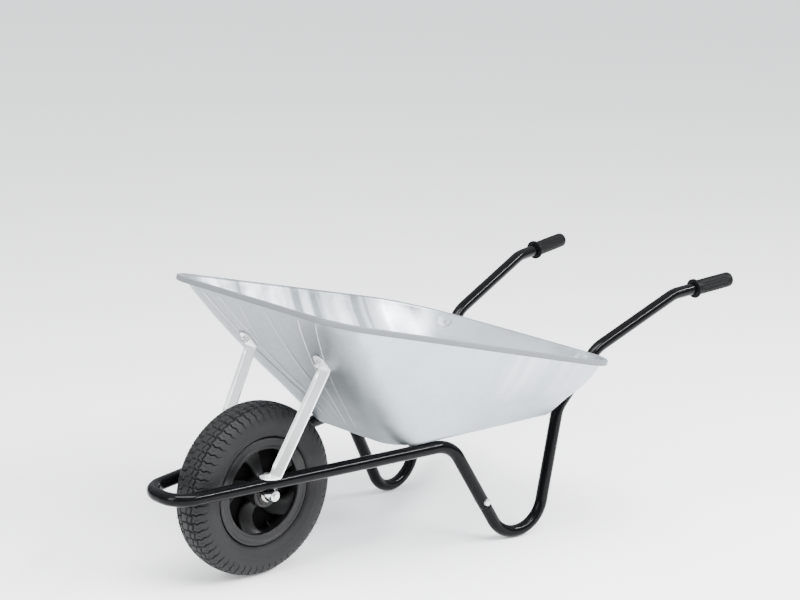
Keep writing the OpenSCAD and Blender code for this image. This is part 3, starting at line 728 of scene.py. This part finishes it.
def pan_features(rows, levels, normals):
    """How far each point of the pan is pressed outwards, in millimetres, and how strong the painted highlight
    on its creases is.
    """
    f = levels[:, None]
    x, y, z = rows[:, :, 0], rows[:, :, 1], rows[:, :, 2]
    push = np.zeros(x.shape)
    painted_crease_highlight = np.zeros(x.shape)
    on_wall = ((f >= 0) & (f <= 1)).astype(float)
    fade = on_wall * smooth(f, 0.03, 0.12) * (1 - smooth(f, 0.9, 0.965))
    facing = np.clip(normals[:, :, 0] - 0.35, 0, 0.3) / 0.3 * fade
    ay = np.abs(y)
    fc = np.clip(f, 0, 1)
    # two steps down the front panel, with the sheet sloping between them, and fainter lines inside them
    inner, outer = crease_inner(fc), crease_outer(fc)
    across = np.clip((ay - inner) / (outer - inner), 0, 1)
    steps = 1.3 * smooth(ay - inner, -1.3, 1.3) - 1.9 * across + 2.0 * smooth(ay - outer, -1.4, 1.4)
    push += facing * steps
    for top, bottom in ((-138, -153), (-55, -87), (25, 9)):
        line = y - (bottom + (top - bottom) * fc)
        clear = smooth(inner - ay, 6, 14) * (1 - smooth(f, 0.84, 0.92))
        push += facing * clear * (0.5 * smooth(line, -5.5, -3.5) * (1 - smooth(line, 3.5, 5.5)))
        # painted highlight along each fainter line
        painted_crease_highlight = np.maximum(painted_crease_highlight, 0.22 * facing * clear * bead_line(line + 4.5, 1.5))
    # painted highlight along both steps, stronger on the left half of the panel
    near_rim = 1 - smooth(f, 0.9, 0.94)
    shown = 0.22 + 0.78 * smooth(y, -10, 10)
    bright = np.maximum(0.85 * bead_line(ay - inner - 0.4, 1.5), bead_line(ay - outer - 0.4, 1.6))
    painted_crease_highlight = np.maximum(painted_crease_highlight, shown * facing * near_rim * bright)
    # ripples left by drawing the corners
    ripple = np.sin(x * 0.115 + 0.6 * np.sin(z * 0.021)) + 0.6 * np.sin(x * 0.071 + 1.3)
    sideways = np.clip(np.abs(normals[:, :, 1]) - 0.5, 0, 0.3) / 0.3 * fade
    push += 0.55 * sideways * ripple * smooth(f, 0.25, 0.8) * (0.3 + 0.7 * smooth(x, -520, -120))
    push += 0.3 * fade * np.sin(x * 0.017 + 1.1) * np.sin(z * 0.024 + y * 0.006)
    # flat dishes under the bolts
    handle_bolt = Vector(((HANDLE_BOLT_AT.x - AXLE.x) / MM, HANDLE_BOLT_AT.y / MM, HANDLE_BOLT_AT.z / MM))
    for bolt, axis, r, depth in ((STAY_TOP, STAY_NORMAL, 20, 1.6), (handle_bolt, WALL_SIDE, 16, -2.2)):
        for s, _ in SIDES:
            rel = rows - np.array((bolt.x, s * bolt.y, bolt.z))
            depth_along = rel @ np.array(axis)
            away = np.linalg.norm(rel - depth_along[:, :, None] * np.array(axis), axis=2)
            near = (np.abs(depth_along) < 30) & (away < 40)
            dish = 0.35 * bead_line(away - r - 1.2, 1.6) - (1 - smooth(away, r - 2.5, r))
            push += near * depth * dish
    # shallow swages in the floor
    on_floor = (f < -1).astype(float)
    for line in (-84, -28, 28, 84):
        inside = smooth(x, -630, -600) * (1 - smooth(x, -330, -300))
        push -= 1.6 * on_floor * inside * bead_line(y - line * (1 - (x + 250) / 2600), 7)
    return push, painted_crease_highlight


def pan():
    """The pressing, with a colour attribute for the sheet's material.

    Red sets painted light: a lighter inner wall with painted reflection streaks, and faint streaks on the
    outside of the side walls. Green sets painted highlights on the creases. Blue marks the lip, painted dark
    as painted shade. Alpha sets painted shade on the front panel.
    """
    rows, levels = pan_rows()
    rows = whole(rows)
    normals = ring_normals(rows)
    push, painted_crease_highlight = pan_features(rows, levels, normals)
    rows = rows + normals * push[:, :, None]
    normals = ring_normals(rows)
    inner = rows - normals * PAN_T
    whole_ring = np.ones(painted_crease_highlight.shape)
    wall = ((levels > 0) & (levels < 3.2))[:, None] * smooth(levels, 0.1, 0.6)[:, None] * whole_ring
    sides = smooth(np.abs(normals[:, :, 1]), 0.35, 0.7)
    # painted shade on the lip, carried in blue, a little less on its inner face
    edge = smooth(levels, 3.15, 3.45)[:, None] * whole_ring
    # painted light: red, full on the inner wall, faint on the outside of the side walls towards the back
    outside_painted_streaks = 0.25 * wall * sides * (1 - smooth(rows[:, :, 0], -480, -330))
    outer_marks = np.stack((outside_painted_streaks, painted_crease_highlight, edge), 2)
    inner_marks = np.stack((wall * (0.3 + 0.7 * sides), np.zeros(painted_crease_highlight.shape), edge * 0.9), 2)
    marks = np.concatenate((outer_marks, inner_marks[::-1])).reshape(-1, 3)
    # painted shade on the outer face of the front panel, carried in alpha
    front = smooth(normals[:, :, 0], 0.35, 0.62) * ((levels > -0.8) & (levels < 3))[:, None]
    shade = np.concatenate((front, front[::-1] * 0)).reshape(-1, 1)
    solid = Solid()
    loops = [[at(*p) for p in ring] for ring in list(rows) + list(inner[::-1])]
    solid.rings(loops, caps=True)
    piece = add_piece("pan_pressing", solid, GALVANISED, "pan", sharp=60)
    colours = piece.data.color_attributes.new("marks", "FLOAT_COLOR", "POINT")
    colours.data.foreach_set("color", np.concatenate((marks, shade), 1).ravel())


pan()

# ---------------------------------------------------------------- fasteners


def head(solid, flats, height, both=False, z0=0.0):
    """Round head as wide as a hexagon's corners, bevelled at the top, and at the bottom too for a nut."""
    corner = flats / 2 / math.cos(math.pi / 6)
    low, high = z0, z0 + height
    levels = [(flats / 2 * 0.96, low), (corner, low + 0.6)] if both else [(corner, low)]
    levels += [(corner, high - 0.95), (corner * 0.965, high - 0.55), (flats / 2 * 0.94, high)]
    lathe(solid, levels, 48, caps=True)


def thread(solid, d, z_low, z_high, pitch=1.25):
    """Threaded shank drawn as one helical ridge, with a bevelled end."""
    sides, depth = 24, 0.55
    rings = []
    steps = int((z_high - z_low) / (pitch / 6))
    for k in range(steps + 1):
        z = z_low + (z_high - z_low) * k / steps
        ring = []
        for a in angles(sides):
            phase = ((z / pitch) - a / (2 * math.pi)) % 1.0
            r = d / 2 - depth * abs(2 * phase - 1)
            r = min(r, d / 2 - 0.7 + (z - z_low) * 0.9, d / 2 - 0.7 + (z_high - z) * 0.9)
            ring.append(Vector((r * math.cos(a), r * math.sin(a), z)) * MM)
        rings.append(ring)
    solid.rings(rings, caps=True)


def bolt(flats, head_height, d, length, grip_length):
    """Bolt with its head above Z = 0; the last stretch below grip_length is threaded."""
    solid = Solid()
    head(solid, flats, head_height)
    lathe(solid, [(d / 2, 0.0), (d / 2, -grip_length)], 32, caps=True)
    thread(solid, d, -length, -grip_length)
    return solid


def nut(flats, height, d):
    """Nut round its bolt, with a raised washer face."""
    solid = Solid()
    head(solid, flats, height - 0.5, both=True, z0=0.5)
    lathe(solid, [(flats * 0.44, 0.0), (flats * 0.44, 0.7)], 40, caps=True)
    mouth = ((1.0, -0.01), (0.9, 0.06), (0.1, -0.5))
    lathe(solid, [(d / 2 + out, height + up) for out, up in mouth], 32)
    return solid


def washer(d_out, d_in, t, dome=0.0):
    r1, r2 = d_in / 2, d_out / 2
    b = 0.3
    profile = [(r1, 0), (r2 - b, 0), (r2, b), (r2, t - b), (r2 - b, t)]
    profile += [(r2 + (r1 - r2) * k / 6, t + dome * math.sin(math.pi / 2 * k / 6)) for k in range(1, 7)]
    solid = Solid()
    lathe(solid, profile, 48, loop=True)
    return solid


def fastener(name, solid, matrix, node, lift, turn=0.0, upside_down=False):
    """A fastener lifted along its bolt's axis and turned about it, with its right copy, for one CAD node."""
    local = Matrix.Translation((0, 0, lift * MM))
    if upside_down:
        local = local @ Matrix.Rotation(math.pi, 4, "X")
    left = matrix @ (local @ Matrix.Rotation(turn, 4, "Z"))
    right = left @ Matrix.Rotation(0.4, 4, "Z")
    pair = Solid()
    pair.add([left @ v for v in solid.verts], solid.faces)
    pair.add([flip(right @ v) for v in solid.verts], [tuple(reversed(f)) for f in solid.faces])
    add_piece(name, pair, PLATED_BOLT, node, sharp=28)


RAIL_PITCH = math.atan(RAIL_RISE)
AT_FOOT_BOLT = Matrix.Translation(rail(BRACKET_LEAD)) @ Matrix.Rotation(RAIL_PITCH, 4, "Y")
AT_STAY_TOP = frame_matrix(at(*STAY_TOP), STAY_NORMAL, STAY_SLOPE)
AT_JOINT = frame_matrix(LEG_JOINT - LEG_DIR * 14 * MM, Vector((0, 1, 0)) - LEG_DIR * LEG_DIR.y, -LEG_DIR)
AT_HANDLE_BOLT = frame_matrix(HANDLE_BOLT_AT, WALL_SIDE, (0, 1, 0))
AT_AXLE = Matrix.Translation(AXLE) @ Matrix.Rotation(-math.pi / 2, 4, "X")
STAY_T, BRACKET_T, EAR_Y = 3.0, 4.0, 52.0
WALL_GAP = HANDLE_R + 0.3
WASHER_T, DOME_T, AXLE_WASHER_T = 1.6, 2.0, 2.5


def m8_bolt(length, grip_length):
    return bolt(13, 5.3, 8, length, grip_length)


def m8_nut():
    return nut(13, 6.5, 8)


def m8_washer():
    return washer(17, 8.4, WASHER_T)


UNDER_BRACKET = -TUBE_R - BRACKET_T - WASHER_T
IN_FRONT_PANEL = -PAN_T - 1.0 - WASHER_T
fastener("foot_bolts", m8_bolt(45.5, 24), AT_FOOT_BOLT, "stay_foot_bolts", TUBE_R + STAY_T, 0.3)
fastener("foot_washers", m8_washer(), AT_FOOT_BOLT, "stay_foot_washers", UNDER_BRACKET)
fastener("foot_nuts", m8_nut(), AT_FOOT_BOLT, "stay_foot_nuts", UNDER_BRACKET, 0.2, upside_down=True)
fastener("stay_bolts", m8_bolt(22, 8), AT_STAY_TOP, "stay_top_bolts", IN_FRONT_PANEL, 0.2, upside_down=True)
fastener("stay_washers", m8_washer(), AT_STAY_TOP, "stay_top_washers", IN_FRONT_PANEL)
fastener("stay_nuts", m8_nut(), AT_STAY_TOP, "stay_top_nuts", STAY_T + 0.5, 0.5)
fastener("joint_bolts", m8_bolt(36.5, 22), AT_JOINT, "leg_joint_bolts", TUBE_R, 0.15)
fastener("joint_nuts", m8_nut(), AT_JOINT, "leg_joint_nuts", -TUBE_R, 0.35, upside_down=True)
fastener("pan_bolts", m8_bolt(39, 18), AT_HANDLE_BOLT, "pan_handle_bolts", WALL_GAP + PAN_T + DOME_T, 0.25)
fastener("pan_washers", washer(24, 8.4, DOME_T, 0.2), AT_HANDLE_BOLT, "pan_handle_washers", WALL_GAP + PAN_T)
fastener("pan_nuts", m8_nut(), AT_HANDLE_BOLT, "pan_handle_nuts", -HANDLE_R, 0.1, upside_down=True)
fastener("axle_end_washers", washer(22, 12.4, AXLE_WASHER_T), AT_AXLE, "axle_washers", EAR_Y + BRACKET_T)
fastener("axle_end_nuts", nut(19, 10, 12), AT_AXLE, "axle_nuts", EAR_Y + BRACKET_T + AXLE_WASHER_T, 0.2)

# ---------------------------------------------------------------- stays and brackets

STAY_W, STAY_FOOT_BACK, STAY_OUT, STAY_FOOT_R, TAB_L = 32, 12, 8, 16, 22
FLANGE_W, FLANGE_TURN, FLANGE_BEND = 8.0, math.radians(40), 2.5
STRIP_COLUMNS = 22


def folded(v, low, turn):
    """Place, lift and tilt of the point v across a strip, once the flange at its low edge is turned up."""
    hinge = low + FLANGE_W
    if v >= hinge or turn <= 0:
        return v, 0.0, 0.0
    bend = min(hinge - v, FLANGE_BEND * turn)
    tilt, rest = bend / FLANGE_BEND, hinge - v - bend
    place = hinge - FLANGE_BEND * math.sin(tilt) - rest * math.cos(turn)
    return place, FLANGE_BEND * (1 - math.cos(tilt)) + rest * math.sin(turn), tilt


def strip(solid, path, normals, halves, turns):
    """Strip along a path with its half width, and the angle of its flange, given at each point."""
    across = Vector((0, 1, 0))
    rings = []
    for p, n, half, turn in zip(path, normals, halves, turns):
        faces = []
        for offset in (STAY_T / 2, -STAY_T / 2):
            row = []
            for k in range(STRIP_COLUMNS):
                q, lift, tilt = folded(-half + 2 * half * k / (STRIP_COLUMNS - 1), -half, turn)
                nn = n * math.cos(tilt) + across * math.sin(tilt)
                row.append(p + across * q * MM + n * lift * MM + nn * offset * MM)
            faces.append(row)
        rings.append(faces[0] + faces[1][::-1])
    solid.rings(rings, caps=True)


def stay_path():
    """Middle line of the left stay, from foot to tab, and the lengths of its two flat ends."""
    foot = AT_FOOT_BOLT.to_3x3()
    foot_n, foot_x = foot @ Vector((0, 0, 1)), foot @ Vector((1, 0, 0))
    on_rail = foot_n * (TUBE_R + STAY_T / 2) * MM
    base = rail(BRACKET_LEAD - STAY_FOOT_BACK) + on_rail + Vector((0, STAY_OUT * MM, 0))
    top = at(*STAY_TOP) + STAY_NORMAL * (STAY_T / 2 + 0.5) * MM
    reach = (STAY_FOOT_R - 0.2) * MM
    toe, heel = rail(BRACKET_LEAD) + on_rail + foot_x * reach, top + STAY_SLOPE * reach
    head = top - STAY_SLOPE * TAB_L * MM
    path = route([toe, base, head, heel], [5 * MM, 9 * MM], 8.0, 0.004)
    fine = []
    for a, b in zip(path, path[1:]):
        fine.append(a)
        if (b - a).length > 0.0035 and min((a - toe).length, (b - heel).length) < 0.022:
            fine += [a.lerp(b, k / 4) for k in range(1, 4)]
    return fine + [path[-1]], (base - toe).length / MM, (heel - head).length / MM


def stay(side, name):
    """Folded strip with round ends. The right stay is the left one moved across, not mirrored."""
    path, foot_run, tab_run = stay_path()
    distance = [0.0]
    for a, b in zip(path, path[1:]):
        distance.append(distance[-1] + (b - a).length / MM)
    total = distance[-1]

    def round_end(s):
        return math.sqrt(max(0.0, STAY_FOOT_R**2 - max(0.0, STAY_FOOT_R - s) ** 2))

    normals, halves, turns = [], [], []
    for t, s in zip(tangents_of(path), distance):
        t = Vector((t.x, 0, t.z)).normalized()
        normals.append(Vector((t.z, 0, -t.x)))
        halves.append(max(1.6, min(STAY_W / 2, round_end(s), round_end(total - s))))
        closing = smooth(s, total - tab_run - 26, total - tab_run - 3)
        turns.append(FLANGE_TURN * float(smooth(s, foot_run + 4, foot_run + 26) * (1 - closing)))
    if side < 0:
        path = [flip(p) for p in path]
    solid = Solid()
    strip(solid, path, normals, halves, turns)
    add_piece(f"{name}_folded_stay", solid, PLATED_STRIP, f"{name}_stay", sharp=40)


for side, name in SIDES:
    stay(side, name)


EAR_R, EAR_BEND_R = 14.0, 5.0


def bracket(side, name):
    """Angle plate: a flat leg under the rail and an ear down to the axle, with a round bend between them."""
    t = BRACKET_T
    top_z = RAIL_Z - RAIL_RISE * BRACKET_LEAD - TUBE_R
    rail_y = RAIL_Y - RAIL_TAPER * BRACKET_LEAD
    bend_y, bend_z = EAR_Y + EAR_BEND_R + t, top_z - t - EAR_BEND_R
    # across the plate: from the rail's outside in, round the bend, then down the ear
    steps = [("flat", k / 8) for k in range(9)]
    steps += [("bend", k / 8) for k in range(1, 9)]
    steps += [("ear", k / 25) for k in range(1, 26)]
    rings = []
    for zone, q in steps:
        rise, half, centre = RAIL_RISE, EAR_R, BRACKET_LEAD
        if zone == "flat":
            y = (rail_y + EAR_R) * (1 - q) + bend_y * q
            if y >= rail_y:
                half = math.sqrt(max(EAR_R**2 - (y - rail_y) ** 2, 2.0))
            outer, inner = (y, top_z - t), (y, top_z)
        elif zone == "bend":
            a = math.radians(90 * q)
            y, z = -math.sin(a), math.cos(a)
            outer, inner = ((bend_y + r * y, bend_z + r * z) for r in (EAR_BEND_R, EAR_BEND_R + t))
        else:
            rise = 0
            z = bend_z * (1 - q) + (WHEEL_R - EAR_R - 1) * q
            outer, inner = (EAR_Y + t, z), (EAR_Y, z)
            run = max(0.0, min(1.0, (bend_z - z) / (bend_z - WHEEL_R)))
            centre = BRACKET_LEAD * (1 - run)
            half = EAR_R + run
            if z < WHEEL_R:
                half = math.sqrt(max((EAR_R + 1) ** 2 - (z - WHEEL_R) ** 2, 2.0))
                centre = 0.0
        ring = []
        for (y, z), way in ((outer, 1), (inner, -1)):
            for x in np.linspace(centre - way * half, centre + way * half, 9):
                ring.append(at(x, y, z + rise * (BRACKET_LEAD - x)))
        rings.append(ring)
    plate = Solid()
    plate.rings(rings, caps=True)
    add_piece(f"{name}_axle_plate", plate.on_side(side), BLACK_TUBE, f"{name}_axle_bracket", sharp=30)


for side, name in SIDES:
    bracket(side, name)

# ---------------------------------------------------------------- tyre

PITCHES, STEPS_A_PITCH, CORE_R = 60, 16, 140
# half sections, (radius, way from the middle line): the outside from crown to bead, the inside back up
TYRE_HALF = [
    (177.6, 0.0), (177.3, 8.0), (176.4, 16.0), (174.6, 24.0), (171.6, 30.5), (167.0, 35.6), (160.5, 39.6),
    (152.0, 42.6), (142.0, 44.0), (132.0, 43.2), (124.0, 40.8), (117.6, 37.2), (114.2, 33.2), (113.4, 30.0),
]
LINING_HALF = [
    (112.9, 28.0), (112.0, 24.0), (102.4, 21.5), (102.2, 16.0), (112, 22), (124, 33), (140, 36.5), (155, 33),
    (165, 20), (168, 0),
]
HAIRS = (
    (-12, -1), (-37, -1), (-44, -1), (-28, 1), (75, -1), (128, 1), (170, -1), (215, 1), (262, -1), (301, 1),
)


def resample(points, step):
    """Smooth curve through the points, resampled to an even step: Catmull-Rom."""
    pts = [points[0]] + list(points) + [points[-1]]
    fine = []
    for i in range(1, len(pts) - 2):
        p0, p1, p2, p3 = (np.array(pts[j], float) for j in range(i - 1, i + 3))
        for k in range(16):
            t = k / 16
            square, cube = 2 * p0 - 5 * p1 + 4 * p2 - p3, 3 * p1 - p0 - 3 * p2 + p3
            fine.append(0.5 * (2 * p1 + (p2 - p0) * t + square * t**2 + cube * t**3))
    fine.append(np.array(points[-1], float))
    fine = np.array(fine)
    run = np.concatenate(([0], np.cumsum(np.linalg.norm(np.diff(fine, axis=0), axis=1))))
    marks = np.linspace(0, run[-1], int(run[-1] / step) + 1)
    return np.stack([np.interp(marks, run, fine[:, i]) for i in (0, 1)], 1), marks


def tread_depth(phase, s):
    """Depth of the grooves: phase counts pitches round the tyre, s is the way from its middle line."""
    zig = np.abs(phase % 1.0 * 2 - 1) * 2 - 1
    zig_b = np.abs((phase + 0.5) % 1.0 * 2 - 1) * 2 - 1
    side = np.sign(s)
    a = np.abs(s)
    z = np.where(side > 0, zig, zig_b)
    depth = 4.2 * (1 - smooth(np.abs(a - (9.5 + 1.9 * z)), 0.9, 2.0))
    depth = np.maximum(depth, 4.6 * (1 - smooth(np.abs(a - (21.5 + 1.8 * z)), 1.0, 2.2)))
    # short cross cuts in the middle rib and the second ribs
    cut = np.abs((phase + 0.25 + 0.012 * a) % 1.0 - 0.5)
    depth = np.maximum(depth, 2.6 * (1 - smooth(cut, 0.035, 0.08)) * (1 - smooth(a, 6.0, 8.0)))
    cut = np.abs((phase + np.where(side > 0, 0.0, 0.5) + 0.02 * a) % 1.0 - 0.5)
    second_rib = smooth(a, 11, 12.5) * (1 - smooth(a, 20, 22))
    depth = np.maximum(depth, 3.8 * (1 - smooth(cut, 0.05, 0.11)) * second_rib)
    # long curved shoulder grooves that run out on the side wall
    sweep_back = 0.30 * np.clip((a - 22) / 34, 0, 1) ** 1.6 + 0.07 * np.sin((a - 22) * 0.42)
    cut = np.abs((phase + np.where(side > 0, 0.25, 0.75) - sweep_back) % 1.0 - 0.5)
    run_out = 1 - smooth(a, 46, 62)
    broad = 1 - smooth(a, 38, 50)
    groove = (1 - smooth(cut, 0.018 + 0.012 * broad, 0.06 + 0.03 * broad)) * smooth(a, 22, 24)
    depth = np.maximum(depth, (3.2 + 1.2 * broad) * run_out * groove)
    # finer lines half way between them
    cut = np.abs((phase + np.where(side > 0, 0.75, 0.25) - sweep_back) % 1.0 - 0.5)
    shoulder = (1 - smooth(a, 34, 44)) * smooth(a, 26, 29)
    return np.maximum(depth, 1.1 * shoulder * (1 - smooth(cut, 0.02, 0.06)))


def tyre():
    half, marks = resample(TYRE_HALF, 1.25)
    profile = np.concatenate((half[::-1] * (1, -1), half[1:]))
    s = np.concatenate((-marks[::-1], marks[1:]))
    tangent = np.gradient(profile, axis=0)
    normal = np.stack((tangent[:, 1], -tangent[:, 0]), 1)
    normal /= np.linalg.norm(normal, axis=1, keepdims=True)
    from_core = np.stack((profile[:, 0] - CORE_R, profile[:, 1]), 1)
    normal = normal * np.where((normal * from_core).sum(1)[:, None] < 0, -1, 1)
    phase = np.arange(PITCHES * STEPS_A_PITCH) / STEPS_A_PITCH
    theta = phase / PITCHES * 2 * math.pi
    depth = tread_depth(phase[:, None], s[None, :])
    # rim guard rings on the side wall
    from_bead = np.abs(s) - marks[-1]
    guard = 0.9 * bead_line(from_bead + 9.5, 0.9) + 0.6 * bead_line(from_bead + 24, 1.2)
    r = profile[None, :, 0] + normal[None, :, 0] * (guard[None, :] - depth)
    y = profile[None, :, 1] + normal[None, :, 1] * (guard[None, :] - depth)
    lining = LINING_HALF + [(r0, -y0) for r0, y0 in LINING_HALF[-2::-1]]
    rings = []
    for a, radii, places in zip(theta, r, y):
        c, sn = math.cos(a), math.sin(a)
        section = list(zip(radii, places)) + lining
        rings.append([Vector((q * c * MM, w * MM, q * sn * MM)) for q, w in section])
    solid = Solid()
    solid.rings(rings, loop=True)
    hairs(solid)
    solid.move(Matrix.Translation(AXLE))
    add_piece("tyre_casing", solid, TYRE_RUBBER, "tyre", sharp=50)


def hairs(solid):
    """Moulding hairs left on the shoulders."""
    for angle, side in HAIRS:
        a = math.radians(angle)
        reach = random.uniform(6, 9)
        path = []
        for k in range(7):
            q = k / 6
            radius = 169.5 + 2.0 * q - 3.5 * q * q
            width = side * (33.0 + reach * q)
            b = a - 0.03 * q * q
            path.append(Vector((radius * math.cos(b) * MM, width * MM, radius * math.sin(b) * MM)))
        sweep(solid, path, lambda d: 0.45 * MM, 6)


tyre()

# ---------------------------------------------------------------- wheel centre

BLADE_ANGLES = [68 - 72 * k for k in range(5)]


def wheel_centre():
    """One-piece wheel: rim barrel, hub, five vanes, the ribs between them and a thin disc in the middle."""
    solid = Solid()
    # barrel with flanges and bead seats: closed section, (radius, half width)
    face = [(88.6, 25.5)] + arc((90.4, 31.4), 1.8, 180, 90, 5)
    face += [(94.0, 33.4), (95.0, 32.6), (104.5, 32.6), (105.5, 33.5)] + arc((109.8, 31.7), 2.3, 90, 0, 6)
    face += [(112.1, 30.0), (111.4, 29.2), (103.0, 28.6), (101.4, 26.0), (100.6, 15.0), (95.2, 11.0)]
    inner = [(88.6, -20.0), (89.6, -14.0), (90.0, 0.0), (89.6, 14.0), (88.6, 20.0)]
    lathe(solid, face + [(r, -w) for r, w in reversed(face)] + inner, 192, loop=True)
    # hub: stepped boss with a dished face round the bush
    hub = [(12.6, 43.0), (17.6, 43.0), (18.2, 45.0), (22.6, 45.0), (23.4, 44.2), (24.2, 41.0), (27.0, 40.2)]
    hub += arc((28.0, 37.2), 3.0, 90, 0, 5) + [(31.6, 24.0)]
    lathe(solid, hub + [(r, -w) for r, w in reversed(hub)], 96, loop=True)
    for angle in BLADE_ANGLES:
        blade(solid, math.radians(angle))
    for angle in BLADE_ANGLES:
        rib(solid, math.radians(angle + 38))
    lathe(solid, [(28.0, 2.5), (91.5, 2.5), (91.5, -2.5), (28.0, -2.5)], 96, loop=True)
    upright = Matrix.Rotation(math.pi / 2, 4, "X") @ Matrix.Scale(-1, 4, (0, 0, 1))
    solid.move(Matrix.Translation(AXLE) @ upright)
    add_piece("turbine_wheel", solid, WHEEL_PLASTIC, "wheel_centre", sharp=32)


def blade(solid, turn):
    """Curved vane from the hub to the barrel: broad, swept back, its face hollowed and its edges rounded."""
    inner, outer, steps, columns = 29.5, 90.5, 22, 20
    rings = []
    for i in range(steps + 1):
        q = i / steps
        r = inner + (outer - inner) * q
        swell = math.sin(math.pi * q)
        sweep_deg = 22 - 25 * q * q
        spread = 17 + 4 * (1 - q) ** 2 + 3.0 * max(0.0, q - 0.85) / 0.15 + 3.0 * max(0.0, 0.12 - q) / 0.12
        rim_lift = 25 - 12 * math.sin(math.pi * min(1, q * 1.05)) ** 0.8
        ring = []
        for top in (1, -1):
            for c in range(columns + 1):
                w = top * (-1 + 2 * c / columns)
                edge = 1 - abs(w) ** 10
                hollow = 2.2 * (1 - w * w) * swell
                z = top * ((rim_lift - hollow) * (0.55 + 0.45 * edge) - 3.5 * w * swell)
                a = turn + math.radians(sweep_deg + w * spread)
                ring.append(Vector((r * math.cos(a), r * math.sin(a), z)) * MM)
        rings.append(ring)
    solid.rings(rings, caps=True)


def rib(solid, turn):
    """Small web that stiffens the barrel between two vanes, on both faces."""
    along = Vector((math.cos(turn), math.sin(turn), 0))
    across = Vector((-math.sin(turn), math.cos(turn), 0))
    rings = []
    for r, h in ((80.0, 9.0), (82.0, 10.5), (86.0, 13.0), (89.4, 18.5)):
        ring = []
        for x, z in ((-1.3, -h), (1.3, -h), (1.6, 0), (1.3, h), (-1.3, h), (-1.6, 0)):
            ring.append((along * r + across * x + Vector((0, 0, z))) * MM)
        rings.append(ring)
    solid.rings(rings, caps=True)


wheel_centre()

# ---------------------------------------------------------------- carried-over CAD nodes

for node, material in (
    ("axle", STEEL),
    ("axle_spacers", ZINC),
    ("inner_tube", BUTYL),
    ("left_bush", NYLON),
    ("right_bush", NYLON),
    ("valve_stem", BUTYL),
    ("valve_cap", WHEEL),
):
    mesh = frame["nodes"][node].data
    for index in range(len(mesh.materials)):
        mesh.materials[index] = material

# ---------------------------------------------------------------- floor, light and camera


STUDIO_HALF, WALLS_STRENGTH = 14.0, 2.3


def studio_floor():
    s = Shader("studio_floor", Roughness=0.6, Specular_IOR_Level=0.25, Emission_Strength=0.3)
    tint = s.ramp(s.noise(3, 3), (0.3, (0.90, 0.90, 0.90)), (0.7, (0.92, 0.92, 0.92)))
    s.feed(Base_Color=tint, Emission_Color=tint)
    mesh = bpy.data.meshes.new("studio_floor")
    corners = [(-STUDIO_HALF, -STUDIO_HALF, 0), (STUDIO_HALF, -STUDIO_HALF, 0), (STUDIO_HALF, STUDIO_HALF, 0)]
    mesh.from_pydata(corners + [(-STUDIO_HALF, STUDIO_HALF, 0)], [], [(0, 1, 2, 3)])
    mesh.materials.append(s.material)
    floor = bpy.data.objects.new("studio_floor", mesh)
    bpy.context.scene.collection.objects.link(floor)


def softbox(name, place, target, size, power):
    """White rectangular lamp at a place, facing a target."""
    light = bpy.data.lights.new(name, "AREA")
    light.shape = "RECTANGLE"
    light.size, light.size_y = size
    light.energy = power
    lamp = bpy.data.objects.new(name, light)
    lamp.location = place
    lamp.rotation_mode = "QUATERNION"
    lamp.rotation_quaternion = (Vector(target) - Vector(place)).to_track_quat("-Z", "Y")
    bpy.context.scene.collection.objects.link(lamp)


def sky():
    """Studio walls dim at eye level and bright above, with soft upright bands to be seen in the zinc."""
    world = bpy.data.worlds.new("studio")
    world.use_nodes = True
    walls = Nodes(world.node_tree)
    coords = walls.node("ShaderNodeTexCoord").outputs["Generated"]
    height = walls.node("ShaderNodeSeparateXYZ", {"Vector": coords}).outputs["Z"]
    upright = walls.node("ShaderNodeMapping", {"Vector": coords, "Scale": (5.0, 5.0, 0.5)}).outputs["Vector"]
    bands = walls.node("ShaderNodeTexNoise", {"Vector": upright, "Scale": 1.0, "Detail": 1.0}).outputs["Fac"]
    dim = ((0.0, (0.28, 0.28, 0.29)), (0.22, (0.32, 0.33, 0.35)))
    light = walls.ramp(height, *dim, (0.55, (0.80, 0.83, 0.87)), (1.0, (1, 1, 1)))
    shade = walls.ramp(bands, (0.40, (0.42, 0.43, 0.45)), (0.58, (1, 1, 1)))
    back = world.node_tree.nodes["Background"]
    walls.tree.links.new(walls.mix(1.0, light, shade, "MULTIPLY"), back.inputs["Color"])
    back.inputs["Strength"].default_value = WALLS_STRENGTH
    bpy.context.scene.world = world


studio_floor()
sky()
softbox("key_strip", (-1.4, 2.6, 2.7), (0.0, 0, 0.3), (4.0, 0.12), 420)
softbox("top", (1.0, 0.8, 3.6), (0, 0, 0.3), (3.0, 1.4), 300)
softbox("front_left", (3.8, 0.2, 1.9), (0.2, 0, 0.3), (1.2, 2.2), 100)


CAMERA_PLACE = at(2593.8, 3125.0, 1578.4)
CAMERA_TURNS = (-132.82, -14.09, 1.43)  # yaw from +X, pitch and roll, in degrees
SENSOR_WIDTH, FOCAL_LENGTH = 36.0, 96.048


def camera():
    data = bpy.data.cameras.new("camera")
    data.sensor_width = SENSOR_WIDTH
    data.lens = FOCAL_LENGTH
    data.shift_x, data.shift_y = 0.0389, 0.0064
    data.clip_end = 60
    cam = bpy.data.objects.new("camera", data)
    yaw, pitch, roll = (math.radians(v) for v in CAMERA_TURNS)
    ahead = Vector((math.cos(pitch) * math.cos(yaw), math.cos(pitch) * math.sin(yaw), math.sin(pitch)))
    right = ahead.cross(Vector((0, 0, 1))).normalized()
    up = right.cross(ahead)
    c, sn = math.cos(roll), math.sin(roll)
    right, up = right * c + up * sn, up * c - right * sn
    rows = [(right[i], up[i], -ahead[i], CAMERA_PLACE[i]) for i in range(3)]
    cam.matrix_world = Matrix(rows + [(0, 0, 0, 1)])
    bpy.context.scene.collection.objects.link(cam)
    bpy.context.scene.camera = cam


camera()
